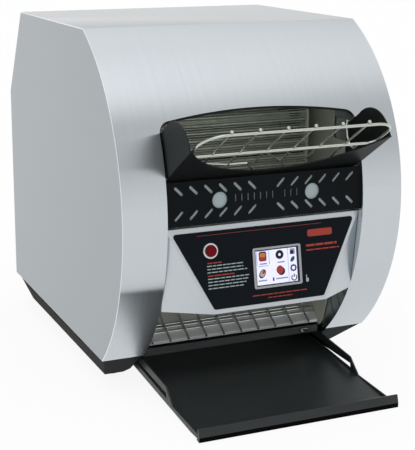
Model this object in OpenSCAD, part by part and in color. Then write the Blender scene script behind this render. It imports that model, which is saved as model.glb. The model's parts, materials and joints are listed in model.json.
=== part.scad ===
// Countertop vertical conveyor toaster.
// Millimetres, +Z up, the front faces -Y, X is symmetric about the middle of the body.
// The origin lies on the counter, below the middle of the whole footprint, tray included.

/* [Body] */
// Width over the two side panels
body_w = 368; // [340:1:420]
// Height of the side panels above the base
body_h = 398.8; // [385:0.5:430]
// Depth of the side panels along their bottom edge
body_d = 395.3; // [370:0.5:440]
// Setback of the top front fold behind the bottom front corner
fold_setback = 55.8; // [45:0.5:65]
// Bulge of the curved front beyond the chord between its two corners
front_bulge = 101.4; // [95:0.5:108]
// Run of the slanted upper back
back_slant_run = 67.8; // [40:0.5:90]
// Height of the upright back above the base
back_upright_h = 280; // [250:1:310]
// Thickness of the stainless sheet
sheet_t = 1.2; // [0.8:0.1:1.6]
// Inset of the rear cover from the back edges of the side panels
rear_inset = 3; // [2.5:0.5:8]

/* [Base] */
// Height of the base
base_h = 42.1; // [38:0.1:50]
// Inset of the base foot from the side panels, on the counter
foot_inset_x = 21; // [14:1:26]
// Setback of the base foot behind the bottom front corner, on the counter
foot_setback_y = 52; // [40:1:60]
// Inset of the base from the back of the side panels
foot_inset_back = 16; // [10:1:30]
// Length of the hand grip recess in each flank
grip_len = 274; // [200:1:290]
// Height of the hand grip recess
grip_h = 9; // [6:0.5:14]
// Depth of the hand grip recess
grip_depth = 14; // [8:1:18]
// Diameter of a rubber foot pad
pad_d = 24; // [16:1:30]
// Height of a rubber foot pad below the base
pad_h = 1.5; // [1:0.5:3]

/* [Feed opening] */
// Width of the cut-out in the hood
opening_w = 258; // [250:1:264]
// Height above the counter of the crown of the cut-out's arched top
opening_crown_z = 351; // [346:1:356]
// Radius of the arched top
opening_arch_r = 760; // [600:10:1200]
// Radius of the cut-out's upper corners
opening_corner_r = 14; // [8:1:20]
// Width of the black edge trim that shows inside the cut-out
trim_w = 3; // [2:0.5:5]

/* [Feed scoop] */
// Slope of the scoop plate
scoop_slope = 33.5; // [30:0.5:38]
// Length of the scoop plate in front of its seat on the burn guard
scoop_len = 77; // [60:1:85]
// Height of the scoop plate left at the low point of its arc
scoop_low = 2; // [1:0.5:10]
// Length of the ramp behind the seat
ramp_len = 64; // [50:1:68]
// Thickness of the scoop sheet
scoop_t = 1.5; // [1:0.1:2]
// Radius of the round cheeks
cheek_r = 42; // [36:1:46]

/* [Feed rack] */
// Length of the wire loop
loop_len = 242; // [200:1:246]
// Depth of the wire loop along the slope
loop_depth = 56; // [50:1:60]
// Diameter of the loop wire
loop_wire_d = 3.2; // [2.6:0.2:4]
// Number of cross wires
cross_count = 6; // [4:1:9]
// Spacing of the cross wires
cross_pitch = 34; // [26:0.2:36]
// Diameter of the cross wires
cross_wire_d = 2.6; // [2:0.2:3.4]
// Reach of the loop's front wire past the scoop tips, along the slope
rack_reach = 32.5; // [26:0.5:36]

/* [Burn guard] */
// Height above the counter of the guard's lower edge
guard_low_z = 223; // [221:0.5:224]
// Height of the guard
guard_h = 52.2; // [50:0.2:54]
// Number of chevron slots in one half row
slot_count = 6; // [4:1:7]
// Spacing of the chevron slots
slot_pitch = 18.8; // [14:0.05:19]
// Length of a chevron slot
slot_len = 14.6; // [8:0.2:16]
// Width of a slot
slot_w = 3.5; // [2:0.1:4]
// Height between the two rows of chevron slots
slot_row_gap = 28.8; // [26:0.2:32]
// Diameter of the two round holes
guard_hole_d = 19.5; // [12:0.5:20]

/* [Control housing] */
// Height above the counter of the housing's lower edge
housing_low_z = 117; // [112:1:124]
// Height of the housing
housing_h = 102; // [96:0.5:102.5]
// Width of the sloping face at its lower edge
face_low_w = 151; // [130:1:180]
// Forward reach of the face's lower edge past its upper edge
face_reach = 20.3; // [14:0.1:26]
// Width of the overlay at its upper edge
overlay_top_w = 238; // [220:1:242]
// Width of the overlay at its lower edge
overlay_low_w = 149; // [120:1:150]
// Length of the overlay along the face
overlay_len = 93; // [86:1:96]
// Width of the screen bezel
bezel_w = 64.5; // [56:0.5:72]
// Height of the screen bezel
bezel_h = 49; // [40:0.5:54]
// Width of the lit screen
screen_w = 58; // [50:0.5:62]
// Height of the lit screen
screen_h = 43.5; // [36:0.5:46]
// Place of the screen's middle to the right of the middle of the face
screen_x = 11.8; // [0:0.2:20]
// Diameter of the button bezel
button_ring_d = 20.5; // [18:0.5:24]
// Diameter of the button cap
button_cap_d = 13.4; // [10:0.2:14]
// Travel of the button
button_travel = 2.5; // [1.5:0.5:3]
// Place of the button to the left of the middle of the face
button_x = 74.8; // [66:0.2:84]

/* [Conveyor] */
// Pitch of the conveyor rods
rod_pitch = 9.525; // [9.525:0.005:9.535]
// Rods that one turn of a sprocket advances
sprocket_teeth = 20; // [20:4:20]
// Rod spacings between the two shafts
run_links = 19; // [17:1:19]
// Diameter of a conveyor rod
rod_d = 2.4; // [1.6:0.1:2.8]
// Width of the conveyor
conveyor_w = 230; // [210:1:232]
// Height above the counter of the drive shaft
drive_z = 136; // [134:0.5:140]
// Distance of the shafts behind the bottom front corner
shaft_back = 72; // [68:0.5:76]
// Diameter of the shafts
shaft_d = 12; // [10:0.5:14]
// Radial running clearance of the shafts
run_clear = 0.05; // [0.02:0.01:0.1]

/* [Drive] */
// Pitch of the drive chain
chain_pitch = 6.35; // [6.35:0.005:6.36]
// Teeth of the two chain sprockets
chain_teeth = 16; // [16:4:16]
// Chain links between the drive shaft and the motor shaft
chain_links = 20; // [18:1:24]
// Diameter of the motor
motor_d = 62; // [50:1:66]
// Length of the motor
motor_len = 78; // [60:1:90]

/* [Discharge] */
// Slope of the chute
chute_slope = 33; // [30:0.5:35]
// Height above the counter of the chute's lip
chute_lip_z = 48.5; // [46:0.5:50]
// Distance of the chute's lip behind the bottom front corner
chute_lip_back = 11.3; // [8:0.5:16]
// Number of long wires on the chute
chute_wires = 10; // [8:1:10]
// Spacing of the long wires
chute_wire_pitch = 24.7; // [18:0.1:25]
// Diameter of the chute wires
chute_wire_d = 3; // [2:0.2:3.6]

/* [Collector tray] */
// Reach of the tray in front of the bottom front corner
tray_reach = 171.2; // [140:1:200]
// Width over the tray's side rails
tray_w = 256; // [240:1:257]
// Width of the tray's front lip
lip_w = 261; // [250:1:270]
// Height of the front lip
lip_h = 15; // [10:0.5:20]
// Slope of the tray floor
tray_slope = 4.6; // [3.5:0.1:5]
// Length of the side rail in front of the bottom front corner
rail_reach = 76; // [60:1:90]
// Travel of the tray
tray_travel = 60; // [40:1:70]

/* [Hidden] */
$fn = 64;

STEEL = [0.72, 0.74, 0.75];
DARK_STEEL = [0.45, 0.46, 0.47];
BLACK = [0.09, 0.10, 0.10];
CHROME = [0.85, 0.86, 0.86];
BRASS = [0.72, 0.56, 0.30];
BOARD_GREEN = [0.10, 0.35, 0.20];
RED = [0.55, 0.05, 0.08];
SCREEN = [0.88, 0.90, 0.97];

gap = 0.3;          // seat gap between separate pieces
far = 600;          // longer than the body, for cuts that go right through
cut = 1;            // overshoot of a cut past the face it opens

// Side outline: places of the corners
overall_d = body_d + tray_reach;
y_back = overall_d / 2;
y_front = -overall_d / 2;
y_low = y_back - body_d;                 // bottom front corner
y_fold = y_low + fold_setback;           // top front fold
y_top_back = y_back - back_slant_run;
z_top = base_h + body_h;
z_slant = base_h + back_upright_h;

// Curved front: a circle through the two front corners
chord = norm([fold_setback, body_h]);
front_r = (chord * chord / 4 + front_bulge * front_bulge) / (2 * front_bulge);
chord_to_axis = front_r - front_bulge;
axis_y = y_low + fold_setback / 2 + chord_to_axis * body_h / chord;
axis_z = base_h + body_h / 2 - chord_to_axis * fold_setback / chord;

// Y of the curved front, at a height and a depth below its skin
function front_y(z, depth = 0) =
    axis_y - sqrt((front_r - depth) * (front_r - depth) - (z - axis_z) * (z - axis_z));

// Clear width of the opening and of the chamber behind it
half_opening = opening_w / 2;
chamber_half = half_opening - 2.5;       // inner faces of the inner side plates
plate_t = 1.5;                           // inner side plates
y_chamber = y_low - 12.7;                // front edges of the inner side plates
y_throat = y_low - 2.5;                  // the same edges beside the feed opening
y_liner = y_low + 126;                   // front face of the chamber's rear wall
z_roof = opening_crown_z + 5;

// Burn guard
guard_t = 1.5;
guard_tilt = 3.9;
guard_half = half_opening - gap;
y_guard = front_y(guard_low_z) + 4;
seat_gap = 4;                            // from the guard's upper edge to the scoop
y_seat = y_guard + guard_h * sin(guard_tilt);
z_seat = guard_low_z + guard_h * cos(guard_tilt) + guard_t * tan(scoop_slope) + seat_gap;

// Feed scoop and rack
scoop_half = half_opening - 2;
y_tip = y_seat - scoop_len * cos(scoop_slope);
z_tip = z_seat + scoop_len * sin(scoop_slope);
scoop_rise = scoop_len - scoop_low;
arc_half = scoop_half - 2 * scoop_t;
scoop_arc_r = (arc_half * arc_half + scoop_rise * scoop_rise) / (2 * scoop_rise);
y_cheek = y_tip + 41;
z_cheek = z_tip - 14.5;
y_cheek_back = y_cheek + 56;
rack_len = 96;                           // along the slope, loop and tail
tail_wire_d = 2.4;
cross_offset = -4.8;                     // the cross wires sit left of the middle
rack_lift = scoop_t + gap + loop_wire_d / 2;    // from the scoop's underside to the wires
y_rack = y_tip - rack_reach * cos(scoop_slope) + rack_lift * sin(scoop_slope);
z_rack = z_tip + rack_reach * sin(scoop_slope) + rack_lift * cos(scoop_slope);

// Control housing
face_tilt = atan(face_reach / housing_h);
face_len = norm([face_reach, housing_h]);
housing_top_z = housing_low_z + housing_h;
housing_half = half_opening - gap - 0.2;
y_face_top = front_y(housing_top_z) + 9.1;
y_face_low = y_face_top - face_reach;
y_housing_back = front_y(housing_low_z) - 2.6;
y_housing_rear = y_low - 55;
housing_t = 1.5;
overlay_t = 0.8;
overlay_drop = 5.8;                      // from the face's upper edge to the overlay
screen_s = 56.2;                         // from the face's upper edge to the screen's middle
button_s = 28.7;
bezel_t = 1.6;
ring_proud = 3.2;

// Conveyor
sprocket_r = rod_pitch / 2 / sin(180 / sprocket_teeth);
run_len = run_links * rod_pitch;
y_shaft = y_low + shaft_back;
idler_z = drive_z + run_len;
band_t = 3;
conveyor_half = conveyor_w / 2;

// Drive chain, in the right-hand bay
chain_r = chain_pitch / 2 / sin(180 / chain_teeth);
chain_x = chamber_half + plate_t + 9;
y_motor = y_shaft + chain_links * chain_pitch;
chain_w = 3.2;

// Discharge
y_lip = y_low + chute_lip_back;
chute_half = chamber_half - gap;
chute_t = 1.2;
chute_len = (y_liner - gap - y_lip) / cos(chute_slope) - 1.4;
chute_wire_x = -3;                       // the rack sits a little left of the middle

// Elements
element_d = 8;
y_front_element = y_low - 38;
front_element_z = [150, 183, 216, 248];
rear_element_z = [182, 211, 240, 269];
y_reflector = y_low - 53;
y_guide = y_low + 0.5;

// Trays
tray_t = 1.5;
y_tray_back = y_low + 72;
tray_floor_z = 0.9;
rail_t = 2;
tray_tail_z = 16;                        // underside of the tray's flank at its back
guide_t = 1.5;
crumb_z = 35.8;
crumb_half = half_opening - 15.5;
crumb_h = 8;
crumb_len = 105;
crumb_front_half = tray_w / 2 - rail_t - 1;
flange_half = half_opening - 9.3;
y_crumb = y_lip + 3;
stud_x = 103;
stud_up = 4.4;
stud_d = 3.4;

// Rear
screw_d = 4;
screw_inset = 10;                        // from the side to the cover's screws
screw_end = 32;                          // from the ends of the upright back to the nearest screws
screw_x = body_w / 2 - screw_inset;
y_cover = y_back - rear_inset;
fan_size = 80;
fan_depth = 25;
fan_hub_d = 34;
fan_blades = 7;
fan_x = 70;
fan_z = base_h + 110;
pan_z = base_h + gap;
pan_t = 1.5;
bay_half = chamber_half + 2;             // half width of the open bay under the chamber
foot_clear = 1.5;                        // from the cut-out's side to the base's inner flank
grip_start = 87;                         // from the bottom front corner to the hand grips

// ---- helpers -------------------------------------------------------------

// A (Y, Z) outline extruded along X from x0
module along_x(x0, len) {
    translate([x0, 0, 0]) rotate([90, 0, 90]) linear_extrude(len) children();
}

// An (X, Z) outline extruded along Y from y0
module along_y(y0, len) {
    translate([0, y0 + len, 0]) rotate([90, 0, 0]) linear_extrude(len) children();
}

// A block from its two corners
module block(a, b) {
    translate(a) cube(b - a);
}

// The same piece on both sides of the middle
module both_sides() {
    children();
    mirror([1, 0, 0]) children();
}

// A round bar between two points
module bar(a, b, d) {
    v = b - a;
    translate(a) rotate([0, acos(v[2] / norm(v)), atan2(v[1], v[0])])
        cylinder(h = norm(v), d = d, $fn = 24);
}

// A slot with round ends, along its local x
module slot2d(len, w) {
    square([len - w, w], center = true);
    for (s = [-1, 1]) translate([s * (len - w) / 2, 0]) circle(d = w, $fn = 24);
}

// A rectangle with round corners
module round_rect(w, h, r) {
    square([w - 2 * r, h], center = true);
    square([w, h - 2 * r], center = true);
    for (sx = [-1, 1], sy = [-1, 1])
        translate([sx * (w / 2 - r), sy * (h / 2 - r)]) circle(r, $fn = 32);
}

// A solid between two level rectangles [x0, x1, y0, y1], which may differ in size
module taper_block(low, z0, high, z1) {
    function ring(r, z) = [[r[0], r[2], z], [r[1], r[2], z], [r[1], r[3], z], [r[0], r[3], z]];
    polyhedron(
        points = concat(ring(low, z0), ring(high, z1)),
        faces = [[0, 1, 2, 3], [7, 6, 5, 4], [0, 4, 5, 1], [1, 5, 6, 2], [2, 6, 7, 3], [3, 7, 4, 0]]
    );
}

// ---- body ----------------------------------------------------------------

// Side outline of the body, its front and top set in by a depth
module body_outline(depth = 0) {
    intersection() {
        union() {
            translate([axis_y, axis_z]) circle(front_r - depth, $fn = 180);
            translate([axis_y, base_h]) square([far, body_h]);
        }
        polygon([
            [-far, base_h], [y_back, base_h], [y_back, z_slant],
            [y_top_back, z_top - depth], [-far, z_top - depth]
        ]);
    }
}

// Front outline of the cut-out: arched top, round corners, open below
module opening_outline() {
    corner_x = half_opening - opening_corner_r;
    arch_z = opening_crown_z - opening_arch_r;
    reach = opening_arch_r - opening_corner_r;
    corner_z = arch_z + sqrt(reach * reach - corner_x * corner_x);
    tangent_x = corner_x * opening_arch_r / reach;
    translate([-half_opening, 0]) square([opening_w, corner_z]);
    intersection() {
        translate([-tangent_x, corner_z - cut]) square([2 * tangent_x, opening_crown_z]);
        translate([0, arch_z]) circle(opening_arch_r, $fn = 360);
    }
    for (s = [-1, 1]) translate([s * corner_x, corner_z]) circle(opening_corner_r);
}

module side_panel() {
    hem = 16;
    hem_y = y_cover - sheet_t - gap;
    along_x(body_w / 2 - sheet_t, sheet_t) body_outline(sheet_t);
    // hem folded in along the upright back, tapped for the cover's screws
    difference() {
        block([body_w / 2 - sheet_t - hem, hem_y - sheet_t, base_h + 20],
              [body_w / 2 - sheet_t + 0.1, hem_y, z_slant - 10]);
        for (p = cover_screw_places) translate([p[0], y_cover + cut, p[1]])
            rotate([90, 0, 0]) cylinder(h = 8, d = screw_d + 2 * run_clear);
    }
    // hem folded in along the bottom
    block([body_w / 2 - sheet_t - hem, y_low + 20, base_h + pan_t + 2 * gap],
          [body_w / 2 - sheet_t, y_back - 20, base_h + pan_t + 2 * gap + sheet_t]);
}

module right_side_panel() {
    color(STEEL) side_panel();
}

module left_side_panel() {
    color(STEEL) mirror([1, 0, 0]) side_panel();
}

module hood() {
    return_back = y_low + 37;
    return_top = 326;
    color(STEEL) {
        difference() {
            along_x(-body_w / 2, body_w) difference() {
                body_outline();
                body_outline(sheet_t);
                translate([y_top_back, base_h]) square(far);
            }
            along_y(-far, far) opening_outline();
        }
        // returns folded in along both sides of the cut-out
        both_sides() along_x(half_opening, sheet_t) intersection() {
            body_outline(sheet_t / 2);
            polygon([
                [-far, base_h], [y_low + 2, base_h], [return_back, base_h + 18],
                [return_back, return_top], [-far, return_top]
            ]);
        }
    }
}

module feed_trim() {
    lap = 5;             // the trim's hidden lap past the cut-out
    strip_h = 30;
    color(BLACK) intersection() {
        along_x(-half_opening - lap - cut, opening_w + 2 * (lap + cut)) difference() {
            body_outline(sheet_t + gap);
            body_outline(sheet_t + gap + 2);
        }
        along_y(-far, far) difference() {
            translate([-half_opening - lap, opening_crown_z + 12 - strip_h]) square([opening_w + 2 * lap, strip_h]);
            translate([0, -trim_w]) intersection() {
                opening_outline();
                translate([-half_opening + trim_w, 0]) square([opening_w - 2 * trim_w, far]);
            }
        }
    }
}

// Outline of the rear cover's skin, slanted above and upright below
module cover_path(depth, t) {
    slant = norm([back_slant_run, z_top - z_slant]);
    ny = (z_top - z_slant) / slant;
    nz = back_slant_run / slant;
    top = z_top - sheet_t - gap;
    a = [y_cover - depth, base_h + pan_t + 2 * gap];
    b = [y_cover - depth, z_slant];
    run = (top - z_slant) * back_slant_run / (z_top - z_slant);
    polygon([a, b, [b[0] - run, top], [b[0] - run - t / ny, top], [b[0] - t, z_slant - t * nz / (1 + ny)], [a[0] - t, a[1]]]);
}

module rear_cover() {
    cover_half = body_w / 2 - sheet_t - gap;
    louvre_z = [for (i = [0:7]) base_h + 176 + i * 11];
    color(STEEL) difference() {
        along_x(-cover_half, 2 * cover_half) cover_path(0, sheet_t);
        // louvre slots
        along_y(y_cover - 10, 20) for (z = louvre_z, x = [-95, 0, 95])
            translate([x, z]) slot2d(74, 4.5);
        // ring slots in front of the fan
        along_y(y_cover - 10, 20) translate([fan_x, fan_z]) for (r = [20, 28, 36])
            difference() {
                circle(r + 2.4);
                circle(r - 2.4);
                for (k = [0:1]) rotate(45 + 90 * k) square([far, 5], center = true);
            }
        // hole for the cord gland
        translate([-120, y_cover + cut, base_h + 40]) rotate([90, 0, 0]) cylinder(h = 6, d = 22.4);
        // screw holes
        for (p = cover_screw_places) translate([p[0], y_cover + cut, p[1]])
            rotate([90, 0, 0]) cylinder(h = 6, d = screw_d + 0.4);
    }
}

cover_screw_places = [for (x = [-screw_x, screw_x], z = [base_h + screw_end, base_h + back_upright_h / 2, z_slant - screw_end]) [x, z]];

module cover_screws() {
    color(CHROME) for (p = cover_screw_places) translate([p[0], y_cover, p[1]]) {
        rotate([-90, 0, 0]) translate([0, 0, 0.05]) cylinder(h = 1.8, d1 = 8, d2 = 5.4);
        rotate([90, 0, 0]) translate([0, 0, -0.5]) cylinder(h = 5, d = screw_d);
    }
}

module base_skirt() {
    x_foot = body_w / 2 - foot_inset_x;
    x_top = body_w / 2 - 2;
    y_foot = y_low + foot_setback_y;
    y_rear = y_back - foot_inset_back;
    inner_x = bay_half + 14;
    foot_in = half_opening + foot_clear;
    chamfer = 7;
    color(BLACK) difference() {
        taper_block([-x_foot, x_foot, y_foot, y_rear], pad_h, [-x_top, x_top, y_low, y_rear + 4], base_h);
        // hollow under the body, behind the front feet
        block([-inner_x, y_foot + 24, -cut], [inner_x, y_rear - 16, base_h + cut]);
        // tunnel for the trays, with a chamfer at the counter
        block([-foot_in, y_low - cut, -cut], [foot_in, y_foot + 40, base_h + cut]);
        both_sides() along_y(y_low - cut, far / 4) polygon([
            [foot_in - cut, -cut], [foot_in + chamfer, -cut], [foot_in + chamfer, pad_h],
            [foot_in, pad_h + chamfer], [foot_in - cut, pad_h + chamfer]
        ]);
        // hand grips along both flanks
        both_sides() block([x_top - grip_depth, y_low + grip_start, base_h - grip_h],
                           [body_w, y_low + grip_start + grip_len, base_h + cut]);
    }
}

module rubber_feet() {
    x_pad = body_w / 2 - foot_inset_x - pad_d / 2 - 2;
    color(BLACK) both_sides() for (y = [y_low + foot_setback_y + pad_d / 2 + 3, y_back - foot_inset_back - pad_d])
        translate([x_pad, y, 0]) cylinder(h = pad_h, d = pad_d);
}

module chassis_pan() {
    half = body_w / 2 - sheet_t - gap;
    color(DARK_STEEL) difference() {
        block([-half, y_low + 6, pan_z], [half, y_cover - sheet_t - gap, pan_z + pan_t]);
        block([-bay_half, y_low - cut, base_h - cut], [bay_half, y_liner + 2, base_h + 10]);
        // slots that let cooling air in
        for (x = [-150:20:150]) translate([x, y_back - 90, 0]) rotate(90)
            linear_extrude(base_h + 10) slot2d(60, 5);
    }
}

// ---- chamber -------------------------------------------------------------

module inner_plate() {
    bushing_d = shaft_d + 8;
    // step in front that closes the sides of the feed ramp
    throat_low = front_element_z[3] + element_d;
    throat_top = z_seat + 19.5;
    difference() {
        along_x(chamber_half, plate_t) polygon([
            [y_throat, z_roof - gap], [y_liner + sheet_t, z_roof - gap], [y_liner + sheet_t, pan_z + pan_t + gap],
            [y_lip + 2, pan_z + pan_t + gap], [y_lip - 6, chute_lip_z + 6], [y_chamber, housing_low_z],
            [y_chamber, throat_low], [y_cheek_back + gap, throat_low], [y_cheek_back + gap, throat_top],
            [y_throat, throat_top]
        ]);
        for (z = [drive_z, idler_z]) translate([chamber_half - cut, y_shaft, z])
            rotate([0, 90, 0]) cylinder(h = plate_t + 2 * cut, d = bushing_d);
        for (z = rear_element_z) translate([chamber_half - cut, y_shaft, z])
            rotate([0, 90, 0]) cylinder(h = plate_t + 2 * cut, d = element_d + 2 * run_clear);
    }
    // foot flange on the chassis pan
    block([chamber_half + plate_t, y_lip + 10, pan_z + pan_t + gap],
          [chamber_half + plate_t + 12, y_liner - 8, pan_z + pan_t + gap + plate_t]);
}

module inner_right_plate() {
    color(STEEL) inner_plate();
}

module inner_left_plate() {
    color(STEEL) mirror([1, 0, 0]) inner_plate();
}

module chamber_liner() {
    half = chamber_half + plate_t;
    color(DARK_STEEL) {
        block([-half, y_liner + sheet_t + gap, pan_z + pan_t + gap],
              [half, y_liner + 2 * sheet_t + gap, z_roof + sheet_t]);
        block([-half, front_y(z_roof, sheet_t + gap + 3), z_roof],
              [half, y_liner + sheet_t + gap + 0.1, z_roof + sheet_t]);
    }
}

module feed_scoop() {
    ramp_half = chamber_half - 2 * gap - sheet_t;    // runs down between the sides of the front reflector
    color(BLACK) {
        // sloping plate with its arc, and the ramp behind the seat
        translate([0, y_seat, z_seat]) rotate([180 - scoop_slope, 0, 0]) translate([0, 0, -scoop_t])
            linear_extrude(scoop_t) {
                difference() {
                    translate([-scoop_half, 0]) square([2 * scoop_half, scoop_len]);
                    translate([0, scoop_low + scoop_arc_r]) circle(scoop_arc_r, $fn = 180);
                }
                translate([-ramp_half, -ramp_len]) square([2 * ramp_half, ramp_len + cut]);
            }
        // round cheeks
        both_sides() along_x(scoop_half - scoop_t, scoop_t) difference() {
            union() {
                translate([y_cheek, z_cheek]) circle(cheek_r, $fn = 96);
                translate([y_cheek, z_cheek]) rotate(-scoop_slope) square([38, cheek_r - 0.5]);
                translate([y_cheek, z_cheek - 34]) square([y_cheek_back - y_cheek, 46]);
            }
            translate([y_seat, z_seat]) rotate(180 - scoop_slope) {
                translate([-far / 2, -scoop_t / 2]) square([far, far]);
                translate([2 - far, -2 * scoop_t]) square([far, far]);    // free of the plate's rear edge
            }
        }
    }
}

// A round wire through a list of points
module wire(points, d) {
    for (i = [0:len(points) - 2]) bar(points[i], points[i + 1], d);
    for (i = [1:len(points) - 2]) translate(points[i]) sphere(d = d + 0.3, $fn = 32);
}

module feed_rack() {
    front_r = 27;
    back_r = 9;
    loop_x = -1.5;
    half = (loop_len - loop_wire_d) / 2;
    rise = (loop_wire_d + cross_wire_d) / 2 - 0.5;
    foot_z = -0.1;
    first = cross_offset - (cross_count - 1) * cross_pitch / 2;
    color(CHROME) translate([0, y_rack, z_rack]) rotate([-scoop_slope, 0, 0]) {
        // closed loop, wide curves in front and tight ones behind
        translate([loop_x, 0, 0]) {
            bar([front_r - half, 0, 0], [half - front_r, 0, 0], loop_wire_d);
            bar([back_r - half, loop_depth, 0], [half - back_r, loop_depth, 0], loop_wire_d);
            both_sides() {
                bar([half, front_r, 0], [half, loop_depth - back_r, 0], loop_wire_d);
                translate([half - front_r, front_r, 0]) rotate(-90)
                    rotate_extrude(angle = 90) translate([front_r, 0]) circle(d = loop_wire_d, $fn = 24);
                translate([half - back_r, loop_depth - back_r, 0])
                    rotate_extrude(angle = 90) translate([back_r, 0]) circle(d = loop_wire_d, $fn = 24);
            }
        }
        // cross wires on top of the loop, with round front ends
        for (i = [0:cross_count - 1]) translate([first + i * cross_pitch, 0, rise]) {
            bar([0, -1.5, 0], [0, rack_len - (i == 0 ? 10 : 0), 0], cross_wire_d);
            translate([0, -1.5, 0.6]) sphere(d = cross_wire_d + 1.6);
        }
        // tail wires, which end in feet on the scoop
        wire([[first - 2, rack_len - 11, rise], [first + cross_pitch, rack_len - 2, rise],
              [first + 1.7 * cross_pitch, rack_len - 2, rise], [first + 2.1 * cross_pitch, rack_len + 15, foot_z]], tail_wire_d);
        wire([[first + 2 * cross_pitch, 64, rise], [first + 3 * cross_pitch, rack_len - 1, rise],
              [first + 3.3 * cross_pitch, rack_len + 14, foot_z]], tail_wire_d);
        // retaining wire at the right, bent up behind the loop
        wire([[97, loop_depth, 0], [97, 70, 0.4], [97, 75, 6], [97, 75.5, 17], [97, 70.5, 31], [97, 66, 34.5]], tail_wire_d + 0.2);
    }
}

module burn_guard() {
    rows = [guard_h / 2 - slot_row_gap / 2 + 0.7, guard_h / 2 + slot_row_gap / 2 + 0.7];
    color(BLACK) translate([0, y_guard, guard_low_z]) rotate([90 - guard_tilt, 0, 0])
        translate([0, 0, -guard_t]) linear_extrude(guard_t) difference() {
            translate([-guard_half, 0]) square([2 * guard_half, guard_h]);
            for (i = [0:slot_count - 1], s = [-1, 1], r = [0, 1])
                translate([s * (i + 1) * slot_pitch, rows[r]]) rotate((r == 0 ? -45 : 45) * s)
                    slot2d(slot_len, slot_w);
            for (s = [-1, 1]) translate([s * 61, guard_h / 2 + 1]) circle(d = guard_hole_d, $fn = 48);
            for (i = [0:10]) if (i != 7) translate([(i - 5) * 8.1, guard_h / 2 + 1.8]) rotate(90) slot2d(9.4, 1.8);
        }
}

module front_reflector() {
    top = z_seat - 13;
    low = housing_low_z + 5;
    half = chamber_half - gap;
    color(STEEL) difference() {
        union() {
            block([-half, y_reflector - sheet_t, low], [half, y_reflector, top]);
            both_sides() block([half - sheet_t, y_reflector - sheet_t, low], [half, y_chamber - gap, top]);
        }
        for (z = front_element_z) translate([-far / 2, y_front_element, z])
            rotate([0, 90, 0]) cylinder(h = far, d = element_d + 2 * run_clear);
    }
}

module elements(y, heights, half) {
    color(DARK_STEEL) for (z = heights) translate([-half, y, z])
        rotate([0, 90, 0]) cylinder(h = 2 * half, d = element_d);
}

module front_elements() {
    elements(y_front_element, front_element_z, chamber_half + plate_t);
}

module rear_elements() {
    elements(y_shaft, rear_element_z, chamber_half + 7);
}

module rear_reflector() {
    half = chamber_half - gap;
    color(STEEL) difference() {
        union() {
            block([-half, y_shaft + 14, rear_element_z[0] - 12], [half, y_shaft + 14 + sheet_t, rear_element_z[3] + 12]);
            both_sides() block([half - sheet_t, y_shaft - 12, rear_element_z[0] - 12],
                               [half, y_shaft + 14 + sheet_t, rear_element_z[3] + 12]);
        }
        for (z = rear_element_z) translate([-far / 2, y_shaft, z])
            rotate([0, 90, 0]) cylinder(h = far, d = element_d + 2 * run_clear);
    }
}

module guide_wires() {
    wire_d = 2.6;
    low = housing_low_z + 8;
    top = z_seat - 48;
    half = chamber_half - gap;
    color(CHROME) {
        for (z = [low + 6, top - 6]) bar([-half, y_guide - 2, z], [half, y_guide - 2, z], wire_d + 0.6);
        for (i = [-4:4]) bar([i * 25, y_guide, low], [i * 25, y_guide, top], wire_d);
    }
}

// ---- conveyor and drive --------------------------------------------------

// A toothed wheel about X. Its short teeth turn just clear of round bars on the pitch circle.
module sprocket(teeth, pitch_r, bar_d, w, bore_d) {
    pocket = bar_d / 2 + 0.8;
    tip = pitch_r - bar_d / 2 - 3 * run_clear;
    rotate([0, 90, 0]) linear_extrude(w) difference() {
        circle(tip, $fn = 96);
        for (i = [0:teeth - 1]) rotate(i * 360 / teeth)
            translate([pitch_r, 0]) circle(pocket, $fn = 16);
        circle(d = bore_d);
    }
}

// The track of a chain or belt over two equal wheels, as a closed band
module track(pitch_r, run, outer, inner) {
    difference() {
        union() {
            for (v = [0, run]) translate([v, 0]) circle(pitch_r + outer, $fn = 96);
            translate([0, -pitch_r - outer]) square([run, 2 * (pitch_r + outer)]);
        }
        for (v = [0, run]) translate([v, 0]) circle(pitch_r - inner, $fn = 96);
        translate([0, -pitch_r + inner]) square([run, 2 * (pitch_r - inner)]);
    }
}

// Places of the bars of such a track: links on both runs, then round both ends
function track_places(teeth, pitch_r, pitch, links) = concat(
    [for (i = [0:links], s = [-1, 1]) [i * pitch, s * pitch_r]],
    [for (i = [1:teeth / 2 - 1]) let (a = 90 + i * 360 / teeth) [pitch_r * cos(a), pitch_r * sin(a)]],
    [for (i = [1:teeth / 2 - 1]) let (a = -90 + i * 360 / teeth)
        [links * pitch + pitch_r * cos(a), pitch_r * sin(a)]]
);

module conveyor_belt() {
    band_x = conveyor_half - band_t;
    color(DARK_STEEL) {
        both_sides() translate([band_x, y_shaft, drive_z]) rotate([0, -90, 0]) mirror([0, 0, 1])
            linear_extrude(band_t) track(sprocket_r, run_len, 2.2, 2.2);
        for (p = track_places(sprocket_teeth, sprocket_r, rod_pitch, run_links))
            translate([-band_x - 1, y_shaft + p[1], drive_z + p[0]])
                rotate([0, 90, 0]) cylinder(h = 2 * band_x + 2, d = rod_d, $fn = 20);
    }
}

module shaft(z, left, right) {
    translate([-left, y_shaft, z]) rotate([0, 90, 0]) cylinder(h = left + right, d = shaft_d);
}

module shaft_sprockets(z) {
    for (x = [-conveyor_half + 9, conveyor_half - 13]) translate([x, y_shaft, z])
        sprocket(sprocket_teeth, sprocket_r, rod_d, 4, shaft_d + 2 * run_clear);
}

module drive_shaft() {
    color(CHROME) shaft(drive_z, chamber_half + 8, chain_x + chain_w + 4);
}

module idler_shaft() {
    color(CHROME) shaft(idler_z, chamber_half + 8, chamber_half + 8);
}

module drive_sprockets() {
    color(DARK_STEEL) shaft_sprockets(drive_z);
}

module idler_sprockets() {
    color(DARK_STEEL) shaft_sprockets(idler_z);
}

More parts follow.
